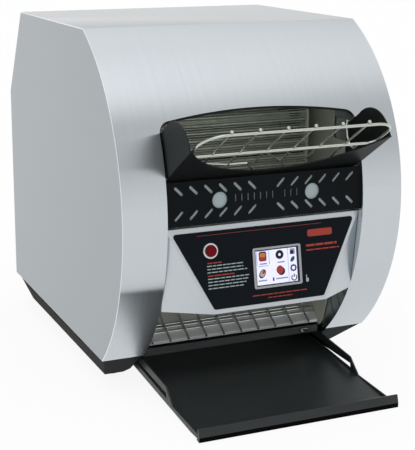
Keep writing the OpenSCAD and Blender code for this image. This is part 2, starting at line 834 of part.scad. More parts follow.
module shaft_bushings() {
    flange = 2.5;
    body_d2 = shaft_d + 8 - 2 * run_clear;
    color(BRASS) both_sides() for (z = [drive_z, idler_z])
        translate([chamber_half, y_shaft, z]) rotate([0, 90, 0]) difference() {
            union() {
                cylinder(h = plate_t + flange + gap, d = body_d2);
                translate([0, 0, plate_t + gap]) cylinder(h = flange, d = body_d2 + 6);
            }
            translate([0, 0, -cut]) cylinder(h = 10, d = shaft_d + 2 * run_clear);
        }
}

module chain_wheel(y) {
    roller = 3.3;
    translate([chain_x, y, drive_z]) sprocket(chain_teeth, chain_r, roller, chain_w, shaft_d + 2 * run_clear);
}

module chain_sprocket() {
    hub_w = chain_x - (chamber_half + plate_t + 3.4);
    color(DARK_STEEL) {
        chain_wheel(y_shaft);
        translate([chain_x - hub_w + 1, y_shaft, drive_z]) rotate([0, 90, 0]) difference() {
            cylinder(h = hub_w - 0.5, d = shaft_d + 8);
            translate([0, 0, -cut]) cylinder(h = hub_w + 2 * cut, d = shaft_d + 2 * run_clear);
        }
    }
}

module motor_sprocket() {
    color(DARK_STEEL) chain_wheel(y_motor);
    color(CHROME) translate([chain_x - 17, y_motor, drive_z]) rotate([0, 90, 0])
        cylinder(h = chain_w + 21, d = shaft_d + 2 * run_clear);
}

module drive_chain() {
    roller = 3.3;
    color(DARK_STEEL) translate([chain_x, y_shaft, drive_z]) {
        for (x = [-1.2 - gap, chain_w + gap]) translate([x, 0, 0])
            rotate([90, 0, 90]) linear_extrude(1.2) track(chain_r, chain_links * chain_pitch, 2.6, 2.6);
        for (p = track_places(chain_teeth, chain_r, chain_pitch, chain_links))
            translate([-gap - 0.2, p[0], p[1]]) rotate([0, 90, 0])
                cylinder(h = chain_w + 2 * gap + 0.4, d = roller, $fn = 16);
    }
}

module gear_motor() {
    box_w = 34;
    box_x = chain_x - 6 - gap - box_w;
    color(DARK_STEEL) difference() {
        union() {
            block([box_x, y_motor - 34, drive_z - 34], [box_x + box_w, y_motor + 34, drive_z + 34]);
            translate([box_x - motor_len, y_motor, drive_z]) rotate([0, 90, 0]) cylinder(h = motor_len + 1, d = motor_d);
        }
        translate([box_x + box_w - 12, y_motor, drive_z]) rotate([0, 90, 0]) cylinder(h = 20, d = shaft_d + 4 * run_clear);
    }
}

module motor_bracket() {
    x0 = chain_x - 6 - gap - 34;
    floor_z = pan_z + pan_t + gap;
    color(STEEL) {
        block([x0 - 20, y_motor - 40, floor_z], [x0 + 34, y_motor + 40, floor_z + 2]);
        block([x0, y_motor - 30, floor_z], [x0 + 34, y_motor - 26, drive_z - 34 - gap]);
        block([x0, y_motor + 26, floor_z], [x0 + 34, y_motor + 30, drive_z - 34 - gap]);
    }
}

// ---- controls ------------------------------------------------------------

// The sloping face: local x is X, local y runs up the face from its upper edge, local z is outward
module on_face() {
    translate([0, y_face_top, housing_top_z]) rotate([90 - face_tilt, 0, 0]) children();
}

// Solid wedge of the housing, set in by a wall
module housing_solid(t) {
    half = housing_half - t;
    low_half = face_low_w / 2 - t * 0.6;
    top = housing_top_z - t;
    low = housing_low_z + t;
    pts = [
        [-half, y_face_top + t, top], [half, y_face_top + t, top],
        [-low_half, y_face_low + t * 1.05, low], [low_half, y_face_low + t * 1.05, low],
        [-half, y_housing_back + t, low], [half, y_housing_back + t, low],
        [-half, y_housing_rear + t, top], [half, y_housing_rear + t, top],
        [-half, y_housing_rear + t, low], [half, y_housing_rear + t, low]
    ];
    polyhedron(points = pts, faces = [
        [0, 1, 3, 2], [0, 2, 4], [1, 5, 3], [6, 7, 1, 0], [2, 3, 5, 9, 8, 4],
        [8, 9, 7, 6], [0, 4, 8, 6], [1, 7, 9, 5]
    ]);
}

module control_housing() {
    color(STEEL) difference() {
        housing_solid(0);
        housing_solid(housing_t);
        on_face() translate([-button_x, -button_s, -20]) cylinder(h = 30, d = button_ring_d - 5);
        on_face() translate([screen_x, -screen_s, -20]) linear_extrude(30)
            square([bezel_w - 6, bezel_h - 6], center = true);
    }
}

// Overlay outline: a trapezoid with round corners
module overlay_outline() {
    r = 3.2;
    top = overlay_top_w / 2 - r;
    low = overlay_low_w / 2 - r;
    corners = [[-top, -r], [top, -r], [low, -overlay_len + r], [-low, -overlay_len + r]];
    hull() for (c = corners) translate(c) circle(r, $fn = 32);
}

module control_overlay() {
    color(BLACK) on_face() translate([0, -overlay_drop, gap / 3]) linear_extrude(overlay_t) difference() {
        overlay_outline();
        translate([screen_x, overlay_drop - screen_s]) square([bezel_w - 4, bezel_h - 4], center = true);
        translate([-button_x, overlay_drop - button_s]) circle(d = button_ring_d - 5);
    }
}

module screen_bezel() {
    color(CHROME) on_face() translate([screen_x, -screen_s, gap / 3 + overlay_t + 0.05]) difference() {
        linear_extrude(bezel_t) round_rect(bezel_w, bezel_h, 2.5);
        translate([0, 0, -cut]) linear_extrude(bezel_t + 2 * cut) square([screen_w, screen_h], center = true);
    }
}

module touch_screen() {
    color(SCREEN) on_face() translate([screen_x, -screen_s, -1.6]) {
        translate([0, 0, 2.9]) linear_extrude(0.5) square([screen_w - 0.4, screen_h - 0.4], center = true);
        linear_extrude(3) square([screen_w - 2, screen_h - 2], center = true);
    }
}

module button_bezel() {
    color(CHROME) on_face() translate([-button_x, -button_s, 0]) difference() {
        union() {
            translate([0, 0, gap / 3 + overlay_t + 0.05]) cylinder(h = ring_proud, d1 = button_ring_d, d2 = button_ring_d - 2);
            translate([0, 0, -9]) cylinder(h = 11, d = button_ring_d - 5.4);
        }
        translate([0, 0, -7.5]) cylinder(h = 20, d = button_cap_d - 2 + 2 * run_clear);
        translate([0, 0, -10]) cylinder(h = 20, d = 4.4);
        translate([0, 0, gap / 3 + overlay_t + ring_proud - button_travel - 0.6])
            cylinder(h = 20, d = button_cap_d + 2 * run_clear);
    }
}

module button_cap() {
    top = gap / 3 + overlay_t + ring_proud;
    color(RED) on_face() translate([-button_x, -button_s, 0]) {
        translate([0, 0, top - 0.4]) cylinder(h = 3, d = button_cap_d);
        translate([0, 0, top + 2.6]) cylinder(h = 0.9, d1 = button_cap_d, d2 = button_cap_d - 3);
        translate([0, 0, top - 3.4]) cylinder(h = 3.2, d = button_cap_d - 2);
        translate([0, 0, -11]) cylinder(h = 12, d = 4);
    }
}

module button_spring() {
    color(CHROME) on_face() translate([-button_x, -button_s, -7.2]) difference() {
        cylinder(h = 7.4, d = 8.6);
        translate([0, 0, -cut]) cylinder(h = 12, d = 6.6);
    }
}

module control_board() {
    color(BOARD_GREEN) on_face() translate([screen_x, -screen_s, -8]) {
        linear_extrude(1.6) square([84, 62], center = true);
        translate([0, 0, -6]) linear_extrude(6.2) square([40, 12], center = true);
    }
    color(BOARD_GREEN) on_face() for (sx = [-1, 1], sy = [-1, 1])
        translate([screen_x + sx * 38, -screen_s + sy * 27, -6.4]) cylinder(h = 4.6, d = 5);
}

// ---- discharge and trays -------------------------------------------------

// The chute's plane: local y runs up the slope from the lip, local z is its normal
module on_chute() {
    translate([0, y_lip, chute_lip_z]) rotate([chute_slope, 0, 0]) children();
}

module discharge_chute() {
    hem = 4;
    lip_turn = 22;
    // plate and its turned-down lip, as one folded profile
    color(STEEL) along_x(-chute_half, 2 * chute_half) translate([y_lip, chute_lip_z]) rotate(chute_slope) polygon([
        [0, 0], [chute_len, 0], [chute_len, -chute_t], [chute_t, -chute_t],
        [-hem * sin(lip_turn) + chute_t * cos(lip_turn), -hem * cos(lip_turn) - chute_t * sin(lip_turn)],
        [-hem * sin(lip_turn), -hem * cos(lip_turn)]
    ]);
}

module chute_rack() {
    first = chute_wire_x - (chute_wires - 1) * chute_wire_pitch / 2;
    rod_z = chute_wire_d / 2 + 0.1;
    wire_z = rod_z + chute_wire_d - 0.4;
    color(CHROME) on_chute() {
        for (i = [0:chute_wires - 1])
            bar([first + i * chute_wire_pitch, 4, wire_z], [first + i * chute_wire_pitch, 92, wire_z], chute_wire_d);
        for (y = [17, 24, 28.5, 86])
            bar([-chute_half + 2, y, rod_z], [chute_half - 2, y, rod_z], chute_wire_d);
    }
}

module crumb_tray() {
    y_end = y_crumb + crumb_len;
    color(DARK_STEEL) difference() {
        union() {
            block([-crumb_half, y_crumb, crumb_z], [crumb_half, y_end, crumb_z + crumb_h]);
            // side flanges that ride on the guides
            block([-flange_half, y_crumb + 2, crumb_z], [flange_half, y_end, crumb_z + tray_t]);
            // front plate that hides the guides
            block([-crumb_front_half, y_crumb, crumb_z - 1.5], [crumb_front_half, y_crumb + tray_t, crumb_z + crumb_h]);
        }
        block([-crumb_half + tray_t, y_crumb + tray_t, crumb_z + tray_t],
              [crumb_half - tray_t, y_end - tray_t, crumb_z + crumb_h + cut]);
        translate([stud_x, y_crumb - cut, crumb_z + stud_up]) rotate([-90, 0, 0])
            cylinder(h = 6, d = stud_d + 2 * run_clear);
    }
}

module crumb_tray_stud() {
    color(CHROME) translate([stud_x, y_crumb, crumb_z + stud_up]) rotate([90, 0, 0]) {
        translate([0, 0, 0.1]) linear_extrude(5) slot2d(11, stud_d + 1.2);
        translate([0, 0, -4]) cylinder(h = 5, d = stud_d);
    }
}

module tray_guides() {
    y0 = y_crumb + tray_t + gap;
    y1 = y_crumb + crumb_len + 8;
    hung_top = pan_z + pan_t;
    color(BLACK) both_sides() {
        // angles hung under the inner side plates, carrying the crumb tray
        block([flange_half + gap, y0, crumb_z - gap - guide_t], [flange_half + gap + guide_t, y1, hung_top]);
        block([flange_half + gap, y0, hung_top - guide_t], [bay_half - gap, y1, hung_top]);
        block([crumb_half + 1, y0, crumb_z - gap - guide_t], [flange_half + gap + 0.1, y1, crumb_z - gap]);
        // ledges on the inner flanks of the base, under the tail of the collector tray
        block([tray_w / 2 - rail_t - 2, y_tray_back - 16, 8],
              [half_opening + foot_clear - gap, y_tray_back + 10, tray_tail_z - 1.6]);
    }
}

// Side outline of the tray's flank: rail, slot, and the low lip in front
module tray_flank() {
    y_rail = y_low - rail_reach;
    y_slot = y_low + 33;
    difference() {
        polygon([
            [y_front + 4, tray_floor_z - 0.3], [y_front + 4, lip_h - 2], [y_front + 9, 6.5],
            [y_rail - 10.8, 9.8], [y_rail + 9.5, 27.2], [y_low + 22, 34.8], [y_low + 40, 36],
            [y_tray_back, 30], [y_tray_back, tray_tail_z], [y_low + 30, 13], [y_front + 30, tray_floor_z - 0.3]
        ]);
        polygon([[y_rail + 6.5, 12.6], [y_rail + 8, 19], [y_slot, 25.4], [y_slot + 2, 21.2]]);
    }
}

module collector_tray() {
    half = tray_w / 2;
    run = y_tray_back - y_front - 3;
    color(BLACK) {
        // sloping floor
        translate([0, y_front + 3, tray_floor_z + 0.2]) rotate([tray_slope, 0, 0])
            block([-half + 0.5, 0, 0], [half - 0.5, run / cos(tray_slope), tray_t]);
        both_sides() along_x(half - rail_t, rail_t) tray_flank();
        // front lip, upright above and chamfered below
        along_x(-lip_w / 2, lip_w) polygon([
            [y_front, 4.5], [y_front, lip_h], [y_front + 1.6, lip_h + 0.6],
            [y_front + 3.6, lip_h], [y_front + 3.6, 3.4], [y_front + 7, 2.6], [y_front + 7, pad_h], [y_front + 4, 0.6]
        ]);
    }
}

// ---- rear bay ------------------------------------------------------------

module fan_frame() {
    y0 = y_cover - sheet_t - gap - fan_depth;
    color(BLACK) difference() {
        translate([fan_x, y0 + fan_depth, fan_z]) rotate([90, 0, 0]) linear_extrude(fan_depth)
            round_rect(fan_size, fan_size, 5);
        translate([fan_x, y0 - cut, fan_z]) rotate([-90, 0, 0]) cylinder(h = fan_depth - 3 + cut, d = fan_size - 5);
        translate([fan_x, y0, fan_z]) rotate([-90, 0, 0]) linear_extrude(fan_depth + cut) difference() {
            circle(d = fan_size - 5);
            circle(d = fan_hub_d);
            for (k = [0:1]) rotate(45 + 90 * k) square([far, 4], center = true);
        }
        for (sx = [-1, 1], sz = [-1, 1]) translate([fan_x + sx * 35.75, y0 - cut, fan_z + sz * 35.75])
            rotate([-90, 0, 0]) cylinder(h = fan_depth + 2 * cut, d = 4.3, $fn = 24);
        translate([fan_x, y0, fan_z]) rotate([-90, 0, 0]) cylinder(h = fan_depth - 0.8, d = 4 + 2 * run_clear, $fn = 24);
    }
}

module fan_rotor() {
    y0 = y_cover - sheet_t - gap - fan_depth;
    hub_h = fan_depth - 8;
    color(BLACK) translate([fan_x, y0 + 2, fan_z]) rotate([-90, 0, 0]) {
        cylinder(h = hub_h, d = fan_hub_d);
        cylinder(h = fan_depth - 3.4, d = 4, $fn = 24);
        for (i = [0:fan_blades - 1]) rotate(i * 360 / fan_blades)
            translate([fan_hub_d / 2 - 1.5, 0, hub_h / 2]) rotate([38, 0, 0])
                translate([0, -0.9, -hub_h * 0.5]) cube([(fan_size - 7 - fan_hub_d) / 2 + 0.5, 1.8, hub_h]);
    }
}

module power_board() {
    x0 = -body_w / 2 + sheet_t + 17;
    floor_z = pan_z + pan_t + gap;
    color(BOARD_GREEN) {
        block([x0, y_liner + 60, floor_z], [x0 + 6, y_liner + 70, floor_z + 20]);
        block([x0, y_liner + 150, floor_z], [x0 + 6, y_liner + 160, floor_z + 20]);
        block([x0 + 2, y_liner + 50, floor_z + 10], [x0 + 4, y_liner + 170, floor_z + 110]);
        for (i = [0:2]) block([x0 + 3.9, y_liner + 62 + i * 34, floor_z + 66],
                              [x0 + 22, y_liner + 84 + i * 34, floor_z + 92]);
    }
}

module terminal_block() {
    floor_z = pan_z + pan_t + gap;
    color("ivory") difference() {
        block([-90, y_cover - 60, floor_z], [-30, y_cover - 38, floor_z + 20]);
        for (i = [0:4]) translate([-82 + i * 11, y_cover - 49, floor_z + 8]) cylinder(h = 14, d = 5, $fn = 24);
    }
}

module cord_gland() {
    color(BLACK) translate([-120, y_cover, base_h + 40]) rotate([90, 0, 0]) difference() {
        union() {
            translate([0, 0, -rear_inset + 0.4]) cylinder(h = rear_inset - 0.4 - 0.05, d = 27);
            translate([0, 0, -1]) cylinder(h = 16, d = 22);
            translate([0, 0, sheet_t + 0.2]) cylinder(h = 5, d = 28, $fn = 6);
        }
        translate([0, 0, -rear_inset - cut]) cylinder(h = 26, d = 11);
    }
}

// ---- output --------------------------------------------------------------

base_skirt();
rubber_feet();
chassis_pan();
left_side_panel();
right_side_panel();
hood();
feed_trim();
rear_cover();
cover_screws();
inner_left_plate();
inner_right_plate();
chamber_liner();
feed_scoop();
feed_rack();
burn_guard();
front_reflector();
front_elements();
rear_elements();
rear_reflector();
guide_wires();
drive_shaft();
drive_sprockets();
chain_sprocket();
idler_shaft();
idler_sprockets();
conveyor_belt();
shaft_bushings();
gear_motor();
motor_bracket();
motor_sprocket();
drive_chain();
control_housing();
control_overlay();
screen_bezel();
touch_screen();
button_bezel();
button_cap();
button_spring();
control_board();
discharge_chute();
chute_rack();
crumb_tray();
crumb_tray_stud();
tray_guides();
collector_tray();
fan_frame();
fan_rotor();
power_board();
terminal_block();
cord_gland();
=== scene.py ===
"""Looks of a countertop conveyor toaster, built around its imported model.

Each operator finishes one group of pieces, and main() runs them in order.
Every length is in metres, in the frame of the solids: +Z up, the front faces -Y.
"""

import json
import math
import random

import bmesh
import bpy
from bpy.props import FloatProperty, FloatVectorProperty, IntProperty, PointerProperty
from mathutils import Matrix, Vector


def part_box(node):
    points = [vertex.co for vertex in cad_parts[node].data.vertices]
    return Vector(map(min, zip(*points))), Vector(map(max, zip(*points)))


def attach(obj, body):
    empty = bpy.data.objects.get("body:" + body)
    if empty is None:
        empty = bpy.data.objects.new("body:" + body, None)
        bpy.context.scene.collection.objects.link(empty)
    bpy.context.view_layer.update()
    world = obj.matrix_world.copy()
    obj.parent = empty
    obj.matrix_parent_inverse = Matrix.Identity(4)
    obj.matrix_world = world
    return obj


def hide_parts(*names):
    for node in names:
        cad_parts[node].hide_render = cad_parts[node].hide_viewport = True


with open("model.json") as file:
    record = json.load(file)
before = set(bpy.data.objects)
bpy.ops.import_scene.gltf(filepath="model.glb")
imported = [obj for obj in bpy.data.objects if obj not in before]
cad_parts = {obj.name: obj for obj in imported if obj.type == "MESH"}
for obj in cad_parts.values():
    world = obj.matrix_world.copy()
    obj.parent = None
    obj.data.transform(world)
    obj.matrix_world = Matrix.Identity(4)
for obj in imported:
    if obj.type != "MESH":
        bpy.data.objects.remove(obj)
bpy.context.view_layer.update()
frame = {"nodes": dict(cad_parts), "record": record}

bl_info = {
    "name": "Conveyor toaster",
    "version": (1, 0, 0),
    "blender": (4, 5, 0),
    "location": "View3D > Sidebar > Toaster",
    "description": "Finishes the pieces of a countertop conveyor toaster",
    "category": "Object",
}

MM = 0.001
RECORD = frame["record"]
BODY_OF = {n: body for body, nodes in RECORD["behaviour"]["bodies"].items() for n in nodes}
SLOT_OF = {part["node"]: part["material_slot"] for part in RECORD["subparts"]}
BRUSH_MAP = "brush"                  # UV map of brushed sheet, U across its lines
FLOOR_LIFT = 0.90                    # how far the floor is lifted to white where it is seen
NOISE_SPAN = (0.3, 0.7)              # where nearly all values of the noise lie


# ---- sizes and colours ---------------------------------------------------


def linear(code):
    """Turn an sRGB hex colour into linear red, green, blue and alpha."""
    channels = [int(code[i:i + 2], 16) / 255 for i in (1, 3, 5)]
    return tuple(c / 12.92 if c <= 0.04045 else ((c + 0.055) / 1.055) ** 2.4 for c in channels) + (1.0,)


def length(name, description, millimetres):
    """A size that a user may change, given in millimetres."""
    return FloatProperty(name=name, description=description, default=millimetres * MM,
                         min=0.0, precision=5, subtype="DISTANCE", unit="LENGTH")


def colour(name, description, code):
    """A colour that a user may change, given as an sRGB hex code."""
    return FloatVectorProperty(name=name, description=description, default=linear(code),
                               size=4, min=0.0, max=1.0, subtype="COLOR")


class ToasterSizes(bpy.types.PropertyGroup):
    """Sizes of the finishing work."""

    sheet_edge: length("Sheet edge", "Rounding of the cut edges of stainless sheet", 0.35)
    hood_edge: length("Hood edge", "Rounding of the hood's cut edges", 0.58)
    fold_edge: length("Fold edge", "Outside radius of the housing's folds", 0.9)
    brush_line: length("Brush line", "Spacing of the brush lines that show on the stainless", 1.1)
    mesh_pitch: length("Mesh pitch", "Spacing of the fine conveyor wires", 3.175)
    mesh_wire: length("Mesh wire", "Diameter of the fine conveyor wires", 1.1)
    print_lift: length("Print height", "Height of the printing above the overlay", 0.04)
    floor_radius: length("Floor radius", "Radius of the pale floor", 60000.0)


class ToasterColours(bpy.types.PropertyGroup):
    """Colours of the finishes."""

    stainless: colour("Stainless", "Brushed stainless steel", "#C3C9CD")
    enamel: colour("Enamel", "Black enamel on steel", "#121516")
    overlay: colour("Overlay", "Black polycarbonate overlay", "#080F15")
    red_print: colour("Red print", "Red printing on the overlay", "#9C3A30")
    pale_print: colour("Pale print", "Pale printing on the overlay", "#9DACAE")
    screen: colour("Screen", "Lit ground of the touch screen", "#DCDDF2")
    red_cap: colour("Red cap", "Push button", "#6A0A15")
    floor: colour("Floor", "Pale studio floor", "#F4F4F4")


def sizes():
    return bpy.context.scene.toaster_sizes


def colours():
    return bpy.context.scene.toaster_colours


# ---- materials -----------------------------------------------------------


def add(tree, kind, inputs=None, **settings):
    """Add a node with its settings. Each input is a value, or a socket to link."""
    node = tree.nodes.new(kind)
    for key, value in settings.items():
        setattr(node, key, value)
    for key, value in (inputs or {}).items():
        if isinstance(value, bpy.types.NodeSocket):
            tree.links.new(value, node.inputs[key])
        else:
            node.inputs[key].default_value = value
    return node


def fresh_tree(owner):
    """The node tree of a material or world, emptied."""
    owner.use_nodes = True
    owner.node_tree.nodes.clear()
    return owner.node_tree


def span(tree, value, start, end, low=0.0, high=1.0):
    """Map a value that runs from start to end onto low to high, held between them."""
    ranged = add(tree, "ShaderNodeMapRange", {"Value": value, "From Min": start, "From Max": end,
                                              "To Min": low, "To Max": high})
    return ranged.outputs["Result"]


def reckon(tree, operation, *values):
    """One step of arithmetic on sockets and numbers."""
    return add(tree, "ShaderNodeMath", dict(enumerate(values)), operation=operation).outputs[0]


def level_ramp(tree, share, stops):
    """A ramp of plain greys along a share from 0 to 1."""
    ramp = add(tree, "ShaderNodeValToRGB", {"Fac": share})
    elements = ramp.color_ramp.elements
    while len(elements) > 1:
        elements.remove(elements[-1])
    for index, (spot, level) in enumerate(stops):
        element = elements.new(spot) if index else elements[0]
        element.position = spot
        element.color = (level, level, level, 1.0)
    return ramp


def finish_material(name, base, rough, metallic=0.0, grain=3.0, vary=0.05, tint=0.06,
                    bump=0.0, level=0.5, glow=0.0, brushed=0.0):
    """A finish whose roughness, tone and bump follow one noise.

    grain is the size of its marks in millimetres, one number or one each along X, Y and Z. vary is
    the change in roughness, tint the change in tone, bump the height of the marks in millimetres.
    A brushed finish spreads its lights along U of the piece's brush map.
    """
    if name in bpy.data.materials:
        return bpy.data.materials[name]
    if isinstance(grain, float):
        grain = (grain, grain, grain)
    material = bpy.data.materials.new(name)
    tree = fresh_tree(material)
    place = add(tree, "ShaderNodeTexCoord")
    scaled = add(tree, "ShaderNodeMapping", {"Vector": place.outputs["Object"],
                                             "Scale": [1.0 / (g * MM) for g in grain]})
    marks = add(tree, "ShaderNodeTexNoise", {"Vector": scaled.outputs["Vector"], "Scale": 1.0,
                                             "Detail": 3.0, "Roughness": 0.55})
    roughness = span(tree, marks.outputs["Fac"], *NOISE_SPAN, max(rough - vary, 0.02), rough + vary)
    tones = add(tree, "ShaderNodeValToRGB", {"Fac": marks.outputs["Fac"]})
    low, high = tones.color_ramp.elements
    low.position, high.position = NOISE_SPAN
    low.color = [c * (1 - tint) for c in base[:3]] + [1.0]
    high.color = [min(c * (1 + tint), 1.0) for c in base[:3]] + [1.0]
    shader_in = {"Base Color": tones.outputs["Color"], "Roughness": roughness, "Metallic": metallic}
    if not metallic:
        shader_in["Specular IOR Level"] = level
    if glow:
        shader_in["Emission Color"] = base
        shader_in["Emission Strength"] = glow
    if brushed:
        across = add(tree, "ShaderNodeTangent", direction_type="UV_MAP", uv_map=BRUSH_MAP)
        shader_in["Anisotropic"] = brushed
        shader_in["Tangent"] = across.outputs["Tangent"]
    if bump:
        height = add(tree, "ShaderNodeBump", {"Height": marks.outputs["Fac"], "Strength": 1.0,
                                              "Distance": bump * MM})
        shader_in["Normal"] = height.outputs["Normal"]
    shader = add(tree, "ShaderNodeBsdfPrincipled", shader_in)
    add(tree, "ShaderNodeOutputMaterial", {"Surface": shader.outputs["BSDF"]})
    return material


def stainless_upright():
    """Brushed 304 stainless sheet, its lines running up the sheet: crisp level bands, soft sideways."""
    line = sizes().brush_line / MM
    return finish_material("brushed stainless, upright lines", colours().stainless, 0.2, 1.0,
                           (line, 220.0, 220.0), 0.012, 0.02, 0.02, brushed=1.0)


def stainless_level():
    """The same sheet with its lines level, as on the housing: lights run up and down."""
    line = sizes().brush_line / MM
    return finish_material("brushed stainless, level lines", colours().stainless, 0.34, 1.0,
                           (120.0, 120.0, line), 0.03, 0.02, 0.001, brushed=0.9)


def stainless_side_painted_shade():
    """Rougher brushed sheet of the side panels and rear cover: level lines, its colour darker than the hood's
    as painted shade.
    """
    line = sizes().brush_line / MM
    return finish_material("brushed stainless, painted side shade", linear("#A9AFB3"), 0.4, 1.0,
                           (150.0, 150.0, line), 0.03, 0.025, 0.001, brushed=0.9)


def edge_painted_highlight():
    """Cut edge of the stainless sheet, coloured near white as a painted highlight."""
    return finish_material("stainless edge painted highlight", linear("#F4F6F7"), 0.35, 0.5, 2.0, 0.04, 0.03)


def hood_lining():
    """Inner face of the hood: dark, smooth, no grain."""
    return finish_material("dark inner stainless", linear("#4B4B48"), 0.4, 1.0, 45.0, 0.04, 0.05)


def chute_steel():
    """Dull rolled stainless of the chute: scatters light evenly, pale grey."""
    return finish_material("dull rolled stainless", linear("#DCDEDF"), 0.34, 0.35, (20.0, 60.0,
                           20.0), 0.02, 0.02)


def backing_steel():
    """Bright annealed sheet behind the guard: pale, evenly soft."""
    return finish_material("bright annealed steel", linear("#9FACAE"), 0.55, 0.25, 25.0, 0.05, 0.05)


def chamber_steel():
    """Stainless dulled and browned by heat: broad soft reflections, an olive cast."""
    return finish_material("heat-dulled stainless", linear("#CFD3C5"), 0.5, 0.35, (40.0, 25.0,
                           14.0), 0.06, 0.06)


def conveyor_steel():
    """Plain drawn steel wire, oxidised: dull grey with darker patches."""
    return finish_material("oxidised steel wire", linear("#E2EADB"), 0.42, 0.35, 9.0, 0.08, 0.12)


def zinc_steel():
    """Zinc-plated steel of the pan and the drive: even grey, faintly mottled."""
    return finish_material("zinc-plated steel", linear("#8E9090"), 0.38, 1.0, 6.0, 0.08, 0.1)


def bright_wire():
    """Nickel-plated drawn wire: sharp bright lights with fine draw marks."""
    return finish_material("bright plated wire", linear("#D6D8D6"), 0.1, 1.0, 5.0, 0.02, 0.03)


def drawn_wire():
    """Nickel-plated wire of the feed rack, warmed by the heat: a faint straw cast."""
    return finish_material("plated wire, heat-warmed", linear("#BEC1BA"), 0.1, 0.88, 5.0, 0.02, 0.04)


def satin_steel():
    """Satin stainless of the screen's bezel, a darker grey."""
    return finish_material("satin bezel steel", linear("#9EA0A3"), 0.26, 1.0, 2.0, 0.04, 0.03)


def satin_chrome():
    """Satin chrome of the bezels."""
    return finish_material("satin chrome", linear("#C9CACB"), 0.24, 1.0, 2.0, 0.04, 0.03)


def black_enamel():
    """Black enamel fired on steel: deep black, satin, with a faint orange peel."""
    return finish_material("black satin enamel", colours().enamel, 0.42, 0.0, 1.6, 0.04, 0.12, 0.012, 0.2)


def guard_enamel():
    """Thin matt enamel of the guard: blue-black."""
    return finish_material("matt blue-black enamel", linear("#0B1013"), 0.55, 0.0, 1.6, 0.04, 0.12,
                           0.012, 0.08)


def base_enamel():
    """Textured powder coat of the base: black, without gloss even at a low glance."""
    return finish_material("black powder coat", linear("#15191A"), 0.62, 0.0, 1.2, 0.05, 0.12, 0.015, 0.04)


def painted_shade_black():
    """Near-black matt finish: painted shade in the hand grips and at the foot of the tray's lip."""
    return finish_material("near black painted shade", linear("#050505"), 0.9, 0.0, 2.0, 0.05, 0.1, 0.0, 0.05)


def tray_enamel():
    """The tray's smoother enamel, a little rubbed by sliding halves."""
    return finish_material("black smooth enamel", linear("#25292A"), 0.36, 0.0, (30.0, 7.0, 7.0),
                           0.06, 0.1, 0.006, 0.3)


def crumb_enamel():
    """Thin grey-black enamel of the crumb tray, rubbed by cleaning."""
    return finish_material("thin grey enamel", linear("#3E4142"), 0.45, 0.0, (20.0, 5.0, 5.0),
                           0.06, 0.1, 0.006, 0.3)


def overlay_film():
    """Polycarbonate film printed black from behind: smooth, low gloss."""
    return finish_material("polycarbonate overlay film", colours().overlay, 0.2, 0.0, 2.5, 0.02,
                           0.05, 0.0, 0.08)


def red_ink():
    """Red screen print."""
    return finish_material("red screen print", colours().red_print, 0.45, 0.0, 0.8, 0.05, 0.1, 0.0, 0.2)


def pale_ink():
    """Pale screen print."""
    return finish_material("pale screen print", colours().pale_print, 0.45, 0.0, 0.8, 0.05, 0.12, 0.0, 0.2)


def screen_glass():
    """Lit display behind glass."""
    return finish_material("lit display glass", colours().screen, 0.1, 0.0, 8.0, 0.02, 0.02, 0.0,
                           0.3, glow=0.35)


def screen_ink(name, code):
    """A colour shown by the display."""
    return finish_material("display " + name, linear(code), 0.25, 0.0, 1.5, 0.02, 0.08, 0.0, 0.2)


def red_plastic():
    """Moulded red polycarbonate cap: glossy and deep."""
    return finish_material("red moulded polycarbonate", colours().red_cap, 0.3, 0.0, 1.2, 0.03,
                           0.12, 0.0, 0.06)


def foot_rubber():
    """Moulded black rubber: matt, slightly grey."""
    return finish_material("moulded black rubber", linear("#1B1C1C"), 0.75, 0.0, 1.0, 0.06, 0.15,
                           0.02, 0.35)


def black_nylon():
    """Glass-filled nylon of the fan and gland: matt black with a fine moulded grain."""
    return finish_material("black glass-filled nylon", linear("#1A1B1C"), 0.55, 0.0, 0.9, 0.06,
                           0.15, 0.015, 0.4)


def motor_paint():
    """Grey machine paint on the gear motor."""
    return finish_material("grey machine paint", linear("#4B4F52"), 0.4, 0.0, 1.5, 0.05, 0.08, 0.01, 0.45)


def element_sheath():
    """Element sheath, blued and browned by heat."""
    return finish_material("heat-tinted element sheath", linear("#6F6760"), 0.36, 1.0, (30.0, 4.0,
                           4.0), 0.08, 0.25)


def bronze():
    """Sintered bronze of the bushings: warm, dull, finely porous."""
    return finish_material("sintered bronze", linear("#B08A52"), 0.38, 1.0, 0.8, 0.06, 0.12, 0.01)


def board_laminate():
    """Green circuit board laminate."""
    return finish_material("green board laminate", linear("#1E5A34"), 0.35, 0.0, 3.0, 0.05, 0.1, 0.0, 0.45)


def ivory_nylon():
    """Ivory nylon of the terminal block."""
    return finish_material("ivory nylon", linear("#D8D0B8"), 0.45, 0.0, 1.2, 0.05, 0.05, 0.01, 0.45)


def studio_floor():
    """Pale matt floor, lifted towards white where it is seen, so that a faint shadow stays."""
    material = finish_material("pale studio floor", colours().floor, 0.9, 0.0, 900.0, 0.02, 0.004, 0.0, 0.0)
    tree = material.node_tree
    output = tree.nodes["Material Output"]
    lit = output.inputs["Surface"].links[0].from_socket
    rays = add(tree, "ShaderNodeLightPath")
    seen = reckon(tree, "MAXIMUM", rays.outputs["Is Camera Ray"], rays.outputs["Is Glossy Ray"])
    seen = reckon(tree, "MAXIMUM", seen, rays.outputs["Is Transmission Ray"])
    share = reckon(tree, "MULTIPLY", seen, FLOOR_LIFT)
    white = add(tree, "ShaderNodeEmission", {"Color": (1.0, 1.0, 1.0, 1.0), "Strength": 1.0})
    mixed = add(tree, "ShaderNodeMixShader", {0: share, 1: lit, 2: white.outputs[0]})
    tree.links.new(mixed.outputs[0], output.inputs["Surface"])
    return material


# ---- shaping -------------------------------------------------------------


def settle(piece, body, slot, *replaced):
    """Let a piece ride on a body and stand for the nodes it replaces. The slot is not used."""
    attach(piece, body)
    if replaced:
        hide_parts(*replaced)
    return piece


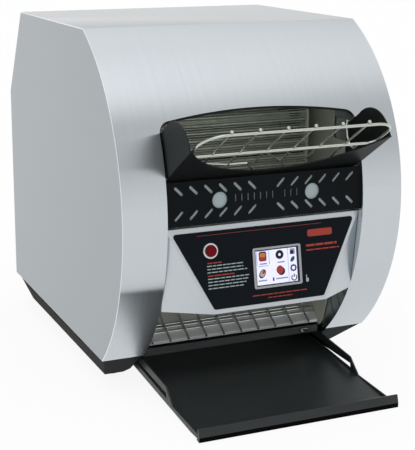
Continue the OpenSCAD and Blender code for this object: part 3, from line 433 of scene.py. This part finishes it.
def piece_from(bm, name, material, smooth_deg=32.0):
    """Make a piece from a bmesh, shaded smooth up to an angle."""
    mesh = bpy.data.meshes.new(name)
    bm.to_mesh(mesh)
    bm.free()
    if "custom_normal" in mesh.attributes:
        mesh.attributes.remove(mesh.attributes["custom_normal"])
    mesh.materials.clear()
    mesh.materials.append(material)
    for polygon in mesh.polygons:
        polygon.material_index = 0
    mesh.shade_smooth()
    mesh.set_sharp_from_angle(angle=math.radians(smooth_deg))
    piece = bpy.data.objects.new(name, mesh)
    bpy.context.scene.collection.objects.link(piece)
    return piece


def brush_map(mesh, across):
    """Lay the UV map of brushed sheet, its U in the face and as near as can be to one direction."""
    layer = mesh.uv_layers.new(name=BRUSH_MAP)
    for polygon in mesh.polygons:
        u = across - across.dot(polygon.normal) * polygon.normal
        if u.length < 0.3:
            u = polygon.normal.orthogonal()
        u.normalize()
        v = polygon.normal.cross(u)
        for index in polygon.loop_indices:
            spot = mesh.vertices[mesh.loops[index].vertex_index].co
            layer.data[index].uv = (spot.dot(u), spot.dot(v))


def line_faces(mesh, material, wanted):
    """Give the faces that a test picks a second material."""
    mesh.materials.append(material)
    for polygon in mesh.polygons:
        if wanted(polygon):
            polygon.material_index = len(mesh.materials) - 1


def merged_copy(node):
    """A bmesh of a node's solid, its loose triangles merged into whole faces."""
    bm = bmesh.new()
    bm.from_mesh(frame["nodes"][node].data)
    bmesh.ops.remove_doubles(bm, verts=bm.verts, dist=0.004 * MM)
    bmesh.ops.dissolve_limit(bm, angle_limit=math.radians(0.3), verts=bm.verts, edges=bm.edges)
    return bm


def dress(node, material, edge_mm, segments=2, smooth_deg=32.0, across=None, edge_material=None):
    """A finished copy of a node: merged, its edges rounded, its curves smooth, brushed across a direction."""
    piece = piece_from(merged_copy(node), node + ".finished", material, smooth_deg)
    if across:
        brush_map(piece.data, Vector(across))
    if edge_mm:
        finish_edges(piece, edge_mm, segments, smooth_deg)
        if edge_material:
            piece.data.materials.append(edge_material)
            piece.modifiers["rounded edges"].material = 1
    return settle(piece, BODY_OF[node], SLOT_OF[node], node)


def finish_edges(piece, edge_mm, segments, smooth_deg):
    """Round a piece's edges and keep its broad faces flat to the eye."""
    rounding = piece.modifiers.new("rounded edges", "BEVEL")
    rounding.width = edge_mm * MM
    rounding.segments = segments
    rounding.limit_method = "ANGLE"
    rounding.angle_limit = math.radians(smooth_deg + 3)
    rounding.miter_outer = "MITER_ARC"
    flat = piece.modifiers.new("flat faces", "WEIGHTED_NORMAL")
    flat.keep_sharp = True
    flat.weight = 80
    return piece


def slab(bm, place, w, h, t, radius=0.0, steps=5):
    """A flat slab of w by h by t on a plane, with round corners."""
    made = bmesh.ops.create_cube(bm, size=1.0, matrix=Matrix.Diagonal((w, h, t, 1.0)))["verts"]
    if radius:
        upright = [e for e in {e for v in made for e in v.link_edges}
                   if abs(e.verts[0].co.z - e.verts[1].co.z) > 0.5 * t]
        out = bmesh.ops.bevel(bm, geom=upright, offset=radius, offset_type="OFFSET", segments=steps,
                              profile=0.5, affect="EDGES", material=-1, clamp_overlap=True)
        made = list({v for f in out["faces"] for v in f.verts} | {v for v in made if v.is_valid})
        made = list({v for m in made for f in m.link_faces for v in f.verts})
    bmesh.ops.transform(bm, matrix=place, verts=made)


def disc(bm, place, radius, t, stretch=1.0, steps=40):
    """A flat disc, or an oval when stretched across."""
    bmesh.ops.create_cone(bm, cap_ends=True, segments=steps, radius1=radius, radius2=radius, depth=t,
                          matrix=place @ Matrix.Diagonal((1.0, stretch, 1.0, 1.0)))


def ring(bm, place, outer, inner, t, turn=2 * math.pi, start=0.0, steps=40):
    """A flat ring, or part of one, spun from its section."""
    corners = ((inner, -t / 2), (outer, -t / 2), (outer, t / 2), (inner, t / 2))
    section = [bm.verts.new((r, 0, z)) for r, z in corners]
    face = bm.faces.new(section)
    whole = abs(turn - 2 * math.pi) < 1e-6
    bmesh.ops.spin(bm, geom=[face, *face.edges, *section], cent=(0, 0, 0), axis=(0, 0, 1),
                   angle=turn, steps=steps, use_merge=whole)
    made = set(section)
    frontier = list(section)
    while frontier:
        vert = frontier.pop()
        for edge in vert.link_edges:
            other = edge.other_vert(vert)
            if other not in made:
                made.add(other)
                frontier.append(other)
    made = [v for v in made if v.is_valid]
    bmesh.ops.transform(bm, matrix=place @ Matrix.Rotation(start, 4, "Z"), verts=made)


# ---- the sloping face ----------------------------------------------------

FRONT_RADIUS = 250.6 * MM            # curved front, about an axis along X
FRONT_AXIS = Vector((0.0, 63.61 * MM, 220.83 * MM))
FACE_TILT = math.atan2(20.3, 102.0)  # its run back over its drop, in millimetres
FACE_TOP = Vector((0.0, -177.883 * MM, 219.0 * MM))
OVERLAY_TOP = 0.9 * MM               # outer skin of the overlay above the face


def on_face(x, s, lift, turn=0.0):
    """A place on the sloping face: x to the right, s down from its upper edge, in millimetres."""
    return (Matrix.Translation(FACE_TOP) @ Matrix.Rotation(math.pi / 2 - FACE_TILT, 4, "X")
            @ Matrix.Translation((x * MM, -s * MM, lift)) @ Matrix.Rotation(math.radians(turn), 4, "Z"))


# ---- light and camera ----------------------------------------------------

# Light of the room by height on the sky, 0 at the horizon and 1 straight up: pale walls and a soft
# box overhead
ROOM_LIGHT = [(0.0, 0.97), (0.35, 0.75), (0.70, 0.75), (0.85, 1.20), (1.0, 1.20)]
SUN_ENERGY = 0.35
SUN_FROM = Vector((-0.25, -0.35, 0.9))
SUN_WIDTH = math.radians(45)

CAMERA_PLACE = (-0.61087, -1.33831, 0.56372)
CAMERA_TURN = (21.774, 15.040, -0.045)      # yaw to the right, pitch down and roll, in degrees
CAMERA_FOCUS = 1133.71               # focal length in pixels of a picture PICTURE_TALL pixels high
PICTURE_TALL = 450
SENSOR = 36                          # millimetres, along the picture's longer side
CAMERA_SHIFT = 0.1278


# ---- operators -----------------------------------------------------------


class TOASTER_OT_stage(bpy.types.Operator):
    """Lay the pale floor, light the studio and set the camera."""

    bl_idname = "toaster.stage"
    bl_label = "Stage"

    def execute(self, context):
        scene = context.scene
        scene.view_settings.view_transform = "Standard"
        bm = bmesh.new()
        bmesh.ops.create_circle(bm, cap_ends=True, segments=96, radius=sizes().floor_radius)
        floor = piece_from(bm, "floor", studio_floor())
        floor.location.z = -0.1 * MM
        self.light(scene)
        self.aim(scene)
        return {"FINISHED"}

    def light(self, scene):
        """A pale room with a soft box overhead, alike from every side, and a wide sun."""
        world = bpy.data.worlds.new("studio")
        scene.world = world
        tree = fresh_tree(world)
        place = add(tree, "ShaderNodeTexCoord")
        parts = add(tree, "ShaderNodeSeparateXYZ", {0: place.outputs["Generated"]})
        ramp = level_ramp(tree, parts.outputs["Z"], ROOM_LIGHT)
        sky = add(tree, "ShaderNodeBackground", {"Color": ramp.outputs["Color"], "Strength": 1.0})
        add(tree, "ShaderNodeOutputWorld", {"Surface": sky.outputs[0]})
        sun = bpy.data.lights.new("wide sun", "SUN")
        sun.energy = SUN_ENERGY
        sun.angle = SUN_WIDTH
        lamp = bpy.data.objects.new("wide_sun", sun)
        lamp.rotation_euler = SUN_FROM.to_track_quat("Z", "Y").to_euler()
        scene.collection.objects.link(lamp)

    def aim(self, scene):
        """A long lens from the front left, looking down on the toaster."""
        yaw, pitch, roll = (math.radians(a) for a in CAMERA_TURN)
        forward = Vector((math.sin(yaw) * math.cos(pitch), math.cos(yaw) * math.cos(pitch), -math.sin(pitch)))
        right = Vector((math.cos(yaw), -math.sin(yaw), 0.0))
        up = right.cross(forward)
        right, up = (math.cos(roll) * right + math.sin(roll) * up,
                     math.cos(roll) * up - math.sin(roll) * right)
        turn = Matrix((right, up, -forward)).transposed().to_4x4()
        data = bpy.data.cameras.new("camera")
        data.lens = CAMERA_FOCUS / PICTURE_TALL * SENSOR
        data.shift_x = CAMERA_SHIFT
        data.clip_end = 100
        camera = bpy.data.objects.new("camera", data)
        camera.matrix_world = Matrix.Translation(CAMERA_PLACE) @ turn
        scene.collection.objects.link(camera)
        scene.camera = camera


class TOASTER_OT_hood(bpy.types.Operator):
    """Round the hood's edges and give its curved front true normals."""

    bl_idname = "toaster.hood"
    bl_label = "Hood"

    FOLD = math.radians(14)          # a steeper edge is a cut or a fold, not a step of the curve
    NEARLY_RADIAL = math.cos(math.radians(2.5))

    def execute(self, context):
        bm = merged_copy("hood")
        sharp = [e for e in bm.edges if len(e.link_faces) == 2 and e.calc_face_angle(0) > self.FOLD]
        bmesh.ops.bevel(bm, geom=sharp, offset=sizes().hood_edge, offset_type="OFFSET", segments=2,
                        profile=0.5, affect="EDGES", material=-1, clamp_overlap=True)
        hood = piece_from(bm, "hood.finished", stainless_upright(), 24)
        settle(hood, BODY_OF["hood"], SLOT_OF["hood"], "hood")
        brush_map(hood.data, Vector((1, 0, 0)))
        line_faces(hood.data, hood_lining(), self.faces_inwards)
        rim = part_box("hood")[1].x - 0.7 * MM
        # The hood's side edges take near white: a painted highlight.
        line_faces(hood.data, edge_painted_highlight(), lambda face: abs(face.center.x) > rim and abs(face.normal.x) > 0.25)
        self.true_normals(hood.data)
        return {"FINISHED"}

    def faces_inwards(self, polygon):
        spot = polygon.center - FRONT_AXIS
        return Vector((0.0, spot.y, spot.z)).dot(polygon.normal) < -0.5 * FRONT_RADIUS

    def true_normals(self, mesh):
        """Point the normals of the curved front straight away from its axis."""
        normals = [Vector()] * len(mesh.loops)
        for polygon in mesh.polygons:
            for index in polygon.loop_indices:
                spot = mesh.vertices[mesh.loops[index].vertex_index].co - FRONT_AXIS
                radial = Vector((0.0, spot.y, spot.z)).normalized()
                lean = radial.dot(polygon.normal)
                if abs(lean) > self.NEARLY_RADIAL and spot.y < 0:
                    normals[index] = radial * (1 if lean > 0 else -1)
        mesh.normals_split_custom_set(normals)


class TOASTER_OT_body_sheet(bpy.types.Operator):
    """Finish the side panels, rear cover and trim."""

    bl_idname = "toaster.body_sheet"
    bl_label = "Body sheet"

    def execute(self, context):
        edge = sizes().sheet_edge / MM
        for node in ("left_side_panel", "right_side_panel", "rear_cover"):
            # Their rounded edges take near white as a painted highlight, and their darker steel is painted
            # shade.
            dress(node, stainless_side_painted_shade(), 1.3 * edge, across=(0, 0, 1), edge_material=edge_painted_highlight())
        dress("feed_trim", black_enamel(), 0.2)
        dress("cover_screws", bright_wire(), 0.15)
        return {"FINISHED"}


class TOASTER_OT_base(bpy.types.Operator):
    """Finish the base, its rubber feet and the chassis pan."""

    bl_idname = "toaster.base"
    bl_label = "Base"

    GRIP_TALL = 9.6 * MM             # height of the hand grips under the side panels
    GRIP_DEEP = 15.0 * MM

    def execute(self, context):
        base = dress("base_skirt", base_enamel(), 1.4, 3)
        low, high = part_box("base_skirt")
        # Faces inside the hand grips take near black: painted shade.
        line_faces(base.data, painted_shade_black(), lambda face: (
            face.center.z > high.z - self.GRIP_TALL
            and high.x - self.GRIP_DEEP < abs(face.center.x) < high.x - 1.0 * MM
            and low.y + 80 * MM < face.center.y < high.y - 15 * MM))
        dress("rubber_feet", foot_rubber(), 0.4)
        dress("chassis_pan", zinc_steel(), 0.2)
        return {"FINISHED"}


class TOASTER_OT_feed(bpy.types.Operator):
    """Finish the scoop, its wire rack and the burn guard."""

    bl_idname = "toaster.feed"
    bl_label = "Feed"

    GUARD_LEAN = 3.9                 # degrees that the guard leans back from upright

    def execute(self, context):
        dress("feed_scoop", black_enamel(), 0.45)
        dress("burn_guard", guard_enamel(), 0.3)
        self.guard_backing()
        dress("feed_rack", drawn_wire(), 0.0, smooth_deg=40)
        return {"FINISHED"}

    def guard_backing(self):
        """A pale sheet close behind the guard, which shows through its slots."""
        low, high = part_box("burn_guard")
        lean = math.radians(90 - self.GUARD_LEAN)
        place = (Matrix.Translation((0, low.y, low.z + 0.1 * MM)) @ Matrix.Rotation(lean, 4, "X")
                 @ Matrix.Translation((0, 26.1 * MM, -2.3 * MM)))
        bm = bmesh.new()
        slab(bm, place, 2 * (high.x - 3 * MM), 49 * MM, 0.6 * MM)
        settle(piece_from(bm, "guard_backing", backing_steel()), "housing", "stainless")


class TOASTER_OT_chamber(bpy.types.Operator):
    """Finish the toasting chamber: plates, reflectors, elements and guide wires."""

    bl_idname = "toaster.chamber"
    bl_label = "Chamber"

    def execute(self, context):
        for node in ("inner_left_plate", "inner_right_plate", "chamber_liner", "front_reflector",
                     "rear_reflector"):
            dress(node, chamber_steel(), 0.25)
        for node in ("front_elements", "rear_elements"):
            dress(node, element_sheath(), 0.4)
        dress("guide_wires", conveyor_steel(), 0.0, smooth_deg=40)
        return {"FINISHED"}


class TOASTER_OT_conveyor(bpy.types.Operator):
    """Finish the conveyor and lay the fine wires between its rods."""

    bl_idname = "toaster.conveyor"
    bl_label = "Conveyor"

    ROD_EVERY = 3                    # every third place already has one of the solid's rods
    BAND_HALF = 2.2 * MM             # from the belt's outside to the middle of its rods
    HALF_WIDTH = 113 * MM

    def execute(self, context):
        dress("conveyor_belt", conveyor_steel(), 0.0, smooth_deg=40)
        self.fine_wires()
        return {"FINISHED"}

    def fine_wires(self):
        low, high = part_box("conveyor_belt")
        drive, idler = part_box("drive_shaft"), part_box("idler_shaft")
        y = (drive[0].y + drive[1].y) / 2
        z0 = (drive[0].z + drive[1].z) / 2
        z1 = (idler[0].z + idler[1].z) / 2
        track_radius = (high.y - low.y) / 2 - self.BAND_HALF
        pitch = sizes().mesh_pitch
        run = round((z1 - z0) / pitch)
        places = [(y + side * track_radius, z0 + i * pitch)
                  for i in range(run + 1) for side in (-1, 1) if i % self.ROD_EVERY]
        turns = round(math.pi * track_radius / pitch)
        for i in range(1, turns):
            angle = math.pi * i / turns
            places.append((y - track_radius * math.cos(angle), z1 + track_radius * math.sin(angle)))
            places.append((y - track_radius * math.cos(angle), z0 - track_radius * math.sin(angle)))
        bm = bmesh.new()
        radius = sizes().mesh_wire / 2
        level = Matrix.Rotation(math.pi / 2, 4, "Y")
        for py, pz in places:
            bmesh.ops.create_cone(bm, cap_ends=True, segments=8, radius1=radius, radius2=radius,
                                  depth=2 * self.HALF_WIDTH, matrix=Matrix.Translation((0, py, pz)) @ level)
        settle(piece_from(bm, "conveyor_fine_wires", conveyor_steel(), 50), "housing", "plain_steel")


class TOASTER_OT_drive(bpy.types.Operator):
    """Finish the shafts, sprockets, chain and gear motor."""

    bl_idname = "toaster.drive"
    bl_label = "Drive"

    def execute(self, context):
        for node in ("drive_shaft", "idler_shaft"):
            dress(node, conveyor_steel(), 0.2)
        dress("button_spring", bright_wire(), 0.2)
        for node in ("drive_sprockets", "idler_sprockets", "chain_sprocket", "motor_sprocket", "drive_chain"):
            dress(node, zinc_steel(), 0.1)
        dress("shaft_bushings", bronze(), 0.2)
        dress("gear_motor", motor_paint(), 1.2, 3)
        dress("motor_bracket", zinc_steel(), 0.25)
        return {"FINISHED"}


class TOASTER_OT_controls(bpy.types.Operator):
    """Finish the control housing, overlay, bezels, button and boards."""

    bl_idname = "toaster.controls"
    bl_label = "Controls"

    def execute(self, context):
        dress("control_housing", stainless_level(), sizes().fold_edge / MM, 3, across=(0, 0, 1))
        dress("control_overlay", overlay_film(), 0.15)
        dress("screen_bezel", satin_steel(), 0.4, 3)
        dress("button_bezel", satin_chrome(), 0.5, 3)
        dress("button_cap", red_plastic(), 0.7, 3)
        dress("touch_screen", screen_glass(), 0.05)
        dress("control_board", board_laminate(), 0.1)
        return {"FINISHED"}


class TOASTER_OT_printing(bpy.types.Operator):
    """Print plain bars and fine lines on the overlay where such an overlay has its notes."""

    bl_idname = "toaster.printing"
    bl_label = "Printing"

    def execute(self, context):
        red, pale = bmesh.new(), bmesh.new()
        lift = OVERLAY_TOP + sizes().print_lift / 2
        t = sizes().print_lift
        dice = random.Random(7)

        def bars(bm, x0, x1, s, tall, words=(4.0, 9.0), space=1.1):
            x = x0
            while x < x1 - 1.0:
                wide = min(dice.uniform(*words), x1 - x)
                slab(bm, on_face(x + wide / 2, s, lift), wide * MM, tall * MM, t)
                x += wide + space

        slab(red, on_face(-7.5, 10.3, lift), 165 * MM, 0.4 * MM, t)
        bars(red, -79.0, -60.6, 43.4, 1.4, (5.0, 9.0), 0.8)
        bars(red, -79.5, -45.0, 58.4, 1.4, (7.0, 12.0), 0.8)
        for s, x1 in ((46.8, -33.0), (50.6, -33.0), (54.4, -28.0),
                      (62.0, -26.0), (65.8, -27.5), (69.6, -30.0), (73.4, -34.0)):
            bars(pale, -79.6, x1, s, 1.15)
        slab(red, on_face(72.2, 21.0, lift), 34 * MM, 8.5 * MM, t, 2.2 * MM)
        bars(red, 52.5, 95.0, 35.8, 2.6, (8.0, 13.0), 1.2)
        bars(red, 52.5, 98.0, 41.4, 1.5, (6.0, 12.0), 1.0)
        bars(red, -23.0, 50.0, 88.5, 1.2, (5.0, 10.0), 1.0)
        bars(red, -3.0, 30.0, 92.6, 1.0, (4.0, 8.0), 0.9)
        slab(pale, on_face(51.6, 77.2, lift), 3.6 * MM, 5.0 * MM, t, 1.5 * MM)
        slab(pale, on_face(50.6, 73.2, lift), 1.2 * MM, 5.0 * MM, t, 0.5 * MM)
        settle(piece_from(red, "overlay_red_print", red_ink()), "housing", "overlay_gloss")
        settle(piece_from(pale, "overlay_pale_print", pale_ink()), "housing", "overlay_gloss")
        return {"FINISHED"}


class TOASTER_OT_display(bpy.types.Operator):
    """Show plain food and setting symbols on the touch screen."""

    bl_idname = "toaster.display"
    bl_label = "Display"

    def execute(self, context):
        low, high = -18.0, 40.1
        top, wide, tall = 34.3, high - low, 43.5
        level = 1.8 * MM
        t = 0.04 * MM
        inks = {key: bmesh.new() for key in ("night", "crust", "toast", "tomato", "leaf", "line", "cream")}

        def spot(u, v, layer=0, turn=0.0):
            return on_face(low + u * wide, top + v * tall, level + (layer + 0.5) * t, turn)

        # frame round the first choice, and its slice
        for u in (0.05, 0.33):
            slab(inks["line"], spot(u, 0.245), 0.7 * MM, 15.5 * MM, t)
        for v in (0.035, 0.455):
            slab(inks["line"], spot(0.19, v), 13.5 * MM, 0.7 * MM, t)
        slab(inks["night"], spot(0.185, 0.19), 10.2 * MM, 11.5 * MM, t, 2.4 * MM)
        slab(inks["tomato"], spot(0.185, 0.225, 1), 8.6 * MM, 7.0 * MM, t, 2.0 * MM)
        slab(inks["toast"], spot(0.185, 0.15, 2), 8.4 * MM, 5.0 * MM, t, 2.2 * MM)
        # ring, oval slice and bun
        ring(inks["night"], spot(0.575, 0.19), 5.4 * MM, 1.7 * MM, t)
        disc(inks["night"], spot(0.16, 0.665, 0, -35), 4.0 * MM, t, 1.45)
        disc(inks["cream"], spot(0.165, 0.66, 1, -35), 3.1 * MM, t, 1.4)
        disc(inks["crust"], spot(0.19, 0.62, 2, -35), 1.6 * MM, t, 1.6)
        disc(inks["night"], spot(0.595, 0.65), 5.0 * MM, t)
        disc(inks["tomato"], spot(0.565, 0.61, 1), 4.7 * MM, t, 1.1)
        # labels as plain bars
        for u, v, w in ((0.19, 0.395, 9.5), (0.60, 0.40, 9.5), (0.155, 0.855, 11.5), (0.60, 0.845, 16.0)):
            slab(inks["line"], spot(u, v), w * MM, 1.6 * MM, t)
        slab(inks["night"], spot(0.405, 0.85), 1.9 * MM, 4.6 * MM, t, 0.9 * MM)
        # settings column
        slab(inks["line"], spot(0.765, 0.5), 0.5 * MM, 42.0 * MM, t)
        slab(inks["line"], spot(0.875, 0.14), 6.6 * MM, 6.8 * MM, t, 0.6 * MM)
        slab(inks["night"], spot(0.862, 0.165, 1), 4.4 * MM, 4.6 * MM, t, 0.6 * MM)
        disc(inks["leaf"], spot(0.87, 0.355, 0, -40), 2.2 * MM, t, 1.75)
        ring(inks["night"], spot(0.88, 0.60), 3.9 * MM, 2.3 * MM, t)
        for k in range(8):
            slab(inks["night"], spot(0.88, 0.60, 0, 45 * k) @ Matrix.Translation((3.9 * MM, 0, 0)),
                 1.2 * MM, 1.5 * MM, t)
        ring(inks["night"], spot(0.885, 0.87), 4.0 * MM, 2.7 * MM, t, math.radians(290), math.radians(125))
        slab(inks["night"], spot(0.885, 0.815, 1), 1.3 * MM, 4.2 * MM, t, 0.5 * MM)
        # dark border beside the lit ground
        for x, w in ((39.4, 2.6), (-16.7, 0.8)):
            slab(inks["night"], on_face(x, 56.2, level + 0.5 * t), w * MM, 43.2 * MM, t)
        for s in (35.2, 77.3):
            slab(inks["night"], on_face(11.8, s, level + 0.5 * t), 57.6 * MM, 1.2 * MM, t)
        codes = {"night": "#1D1838", "crust": "#7A4640", "toast": "#C77A3C", "tomato": "#A63A38",
                 "leaf": "#0E5A55", "line": "#8F97BE", "cream": "#C9A79C"}
        for key, bm in inks.items():
            settle(piece_from(bm, "display_" + key, screen_ink(key, codes[key])), "housing", "screen_face")
        return {"FINISHED"}


class TOASTER_OT_discharge(bpy.types.Operator):
    """Finish the chute, its rack, the crumb tray and the collector tray."""

    bl_idname = "toaster.discharge"
    bl_label = "Discharge"

    CHUTE_SLOPE = math.radians(33)
    LIP_FOOT = 6.0 * MM              # height of the tray lip's foot, painted near black as shade
    LIP_FOLD = 10.0 * MM             # the lip leans back above this height

    def execute(self, context):
        chute = dress("discharge_chute", chute_steel(), 0.3)
        self.slide_ends(chute.data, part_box("discharge_chute")[0].y, 4.0, 3.8)
        rack = dress("chute_rack", bright_wire(), 0.0, smooth_deg=40)
        self.slide_ends(rack.data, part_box("chute_rack")[0].y, 5.0, -3.4)
        dress("crumb_tray", crumb_enamel(), 0.35)
        dress("crumb_tray_stud", bright_wire(), 0.4, 3)
        dress("tray_guides", black_enamel(), 0.25)
        self.collector_tray()
        return {"FINISHED"}

    def slide_ends(self, mesh, y_end, reach, back):
        """Trim or draw out the low ends of the chute's sheet or wires, along its slope, in millimetres."""
        for vert in mesh.vertices:
            if vert.co.y < y_end + reach * MM:
                vert.co += Vector((0.0, back, back * math.tan(self.CHUTE_SLOPE))) * MM

    def collector_tray(self):
        """The tray, its front lip folded: upright at the counter, then leaning back."""
        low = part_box("collector_tray")[0]
        bm = merged_copy("collector_tray")
        bmesh.ops.bisect_plane(bm, geom=[*bm.verts, *bm.edges, *bm.faces], plane_co=(0, 0, self.LIP_FOOT),
                               plane_no=(0, 0, 1))
        for vert in bm.verts:
            back = vert.co.y - low.y
            if back < 0.3 * MM:
                if vert.co.z < 5 * MM:
                    vert.co.z = 0.4 * MM
                elif vert.co.z > self.LIP_FOLD:
                    vert.co.y += 2.6 * MM
            elif back < 4.5 * MM and vert.co.z > self.LIP_FOLD:
                vert.co.y += 2.0 * MM
        piece = finish_edges(piece_from(bm, "collector_tray.finished", tray_enamel()), 0.5, 3, 32)
        # The front face of the lip's foot takes near black: painted shade.
        line_faces(piece.data, painted_shade_black(), lambda face: (
            face.center.y < low.y + 0.4 * MM and face.center.z < self.LIP_FOOT and face.normal.y < -0.5))
        settle(piece, BODY_OF["collector_tray"], SLOT_OF["collector_tray"], "collector_tray")


class TOASTER_OT_rear_bay(bpy.types.Operator):
    """Finish the fan, the boards, the terminal block and the cord gland."""

    bl_idname = "toaster.rear_bay"
    bl_label = "Rear bay"

    def execute(self, context):
        dress("fan_frame", black_nylon(), 0.3)
        dress("fan_rotor", black_nylon(), 0.3)
        dress("cord_gland", black_nylon(), 0.4)
        dress("power_board", board_laminate(), 0.2)
        dress("terminal_block", ivory_nylon(), 0.4)
        return {"FINISHED"}


OPERATORS = (
    TOASTER_OT_stage, TOASTER_OT_hood, TOASTER_OT_body_sheet, TOASTER_OT_base, TOASTER_OT_feed,
    TOASTER_OT_chamber, TOASTER_OT_conveyor, TOASTER_OT_drive, TOASTER_OT_controls, TOASTER_OT_printing,
    TOASTER_OT_display, TOASTER_OT_discharge, TOASTER_OT_rear_bay,
)


class TOASTER_PT_pieces(bpy.types.Panel):
    """Lists the finishing steps with their sizes and colours."""

    bl_idname = "TOASTER_PT_pieces"
    bl_label = "Conveyor toaster"
    bl_space_type = "VIEW_3D"
    bl_region_type = "UI"
    bl_category = "Toaster"

    def draw(self, context):
        for operator in OPERATORS:
            self.layout.operator(operator.bl_idname)
        for group in (context.scene.toaster_sizes, context.scene.toaster_colours):
            for key in group.__annotations__:
                self.layout.prop(group, key)


CLASSES = (ToasterSizes, ToasterColours, *OPERATORS, TOASTER_PT_pieces)


def register():
    for cls in CLASSES:
        bpy.utils.register_class(cls)
    bpy.types.Scene.toaster_sizes = PointerProperty(type=ToasterSizes)
    bpy.types.Scene.toaster_colours = PointerProperty(type=ToasterColours)


def unregister():
    del bpy.types.Scene.toaster_colours
    del bpy.types.Scene.toaster_sizes
    for cls in reversed(CLASSES):
        bpy.utils.unregister_class(cls)


def main():
    register()
    for operator in OPERATORS:
        group, name = operator.bl_idname.split(".")
        getattr(getattr(bpy.ops, group), name)()


if __name__ == "__main__":
    main()
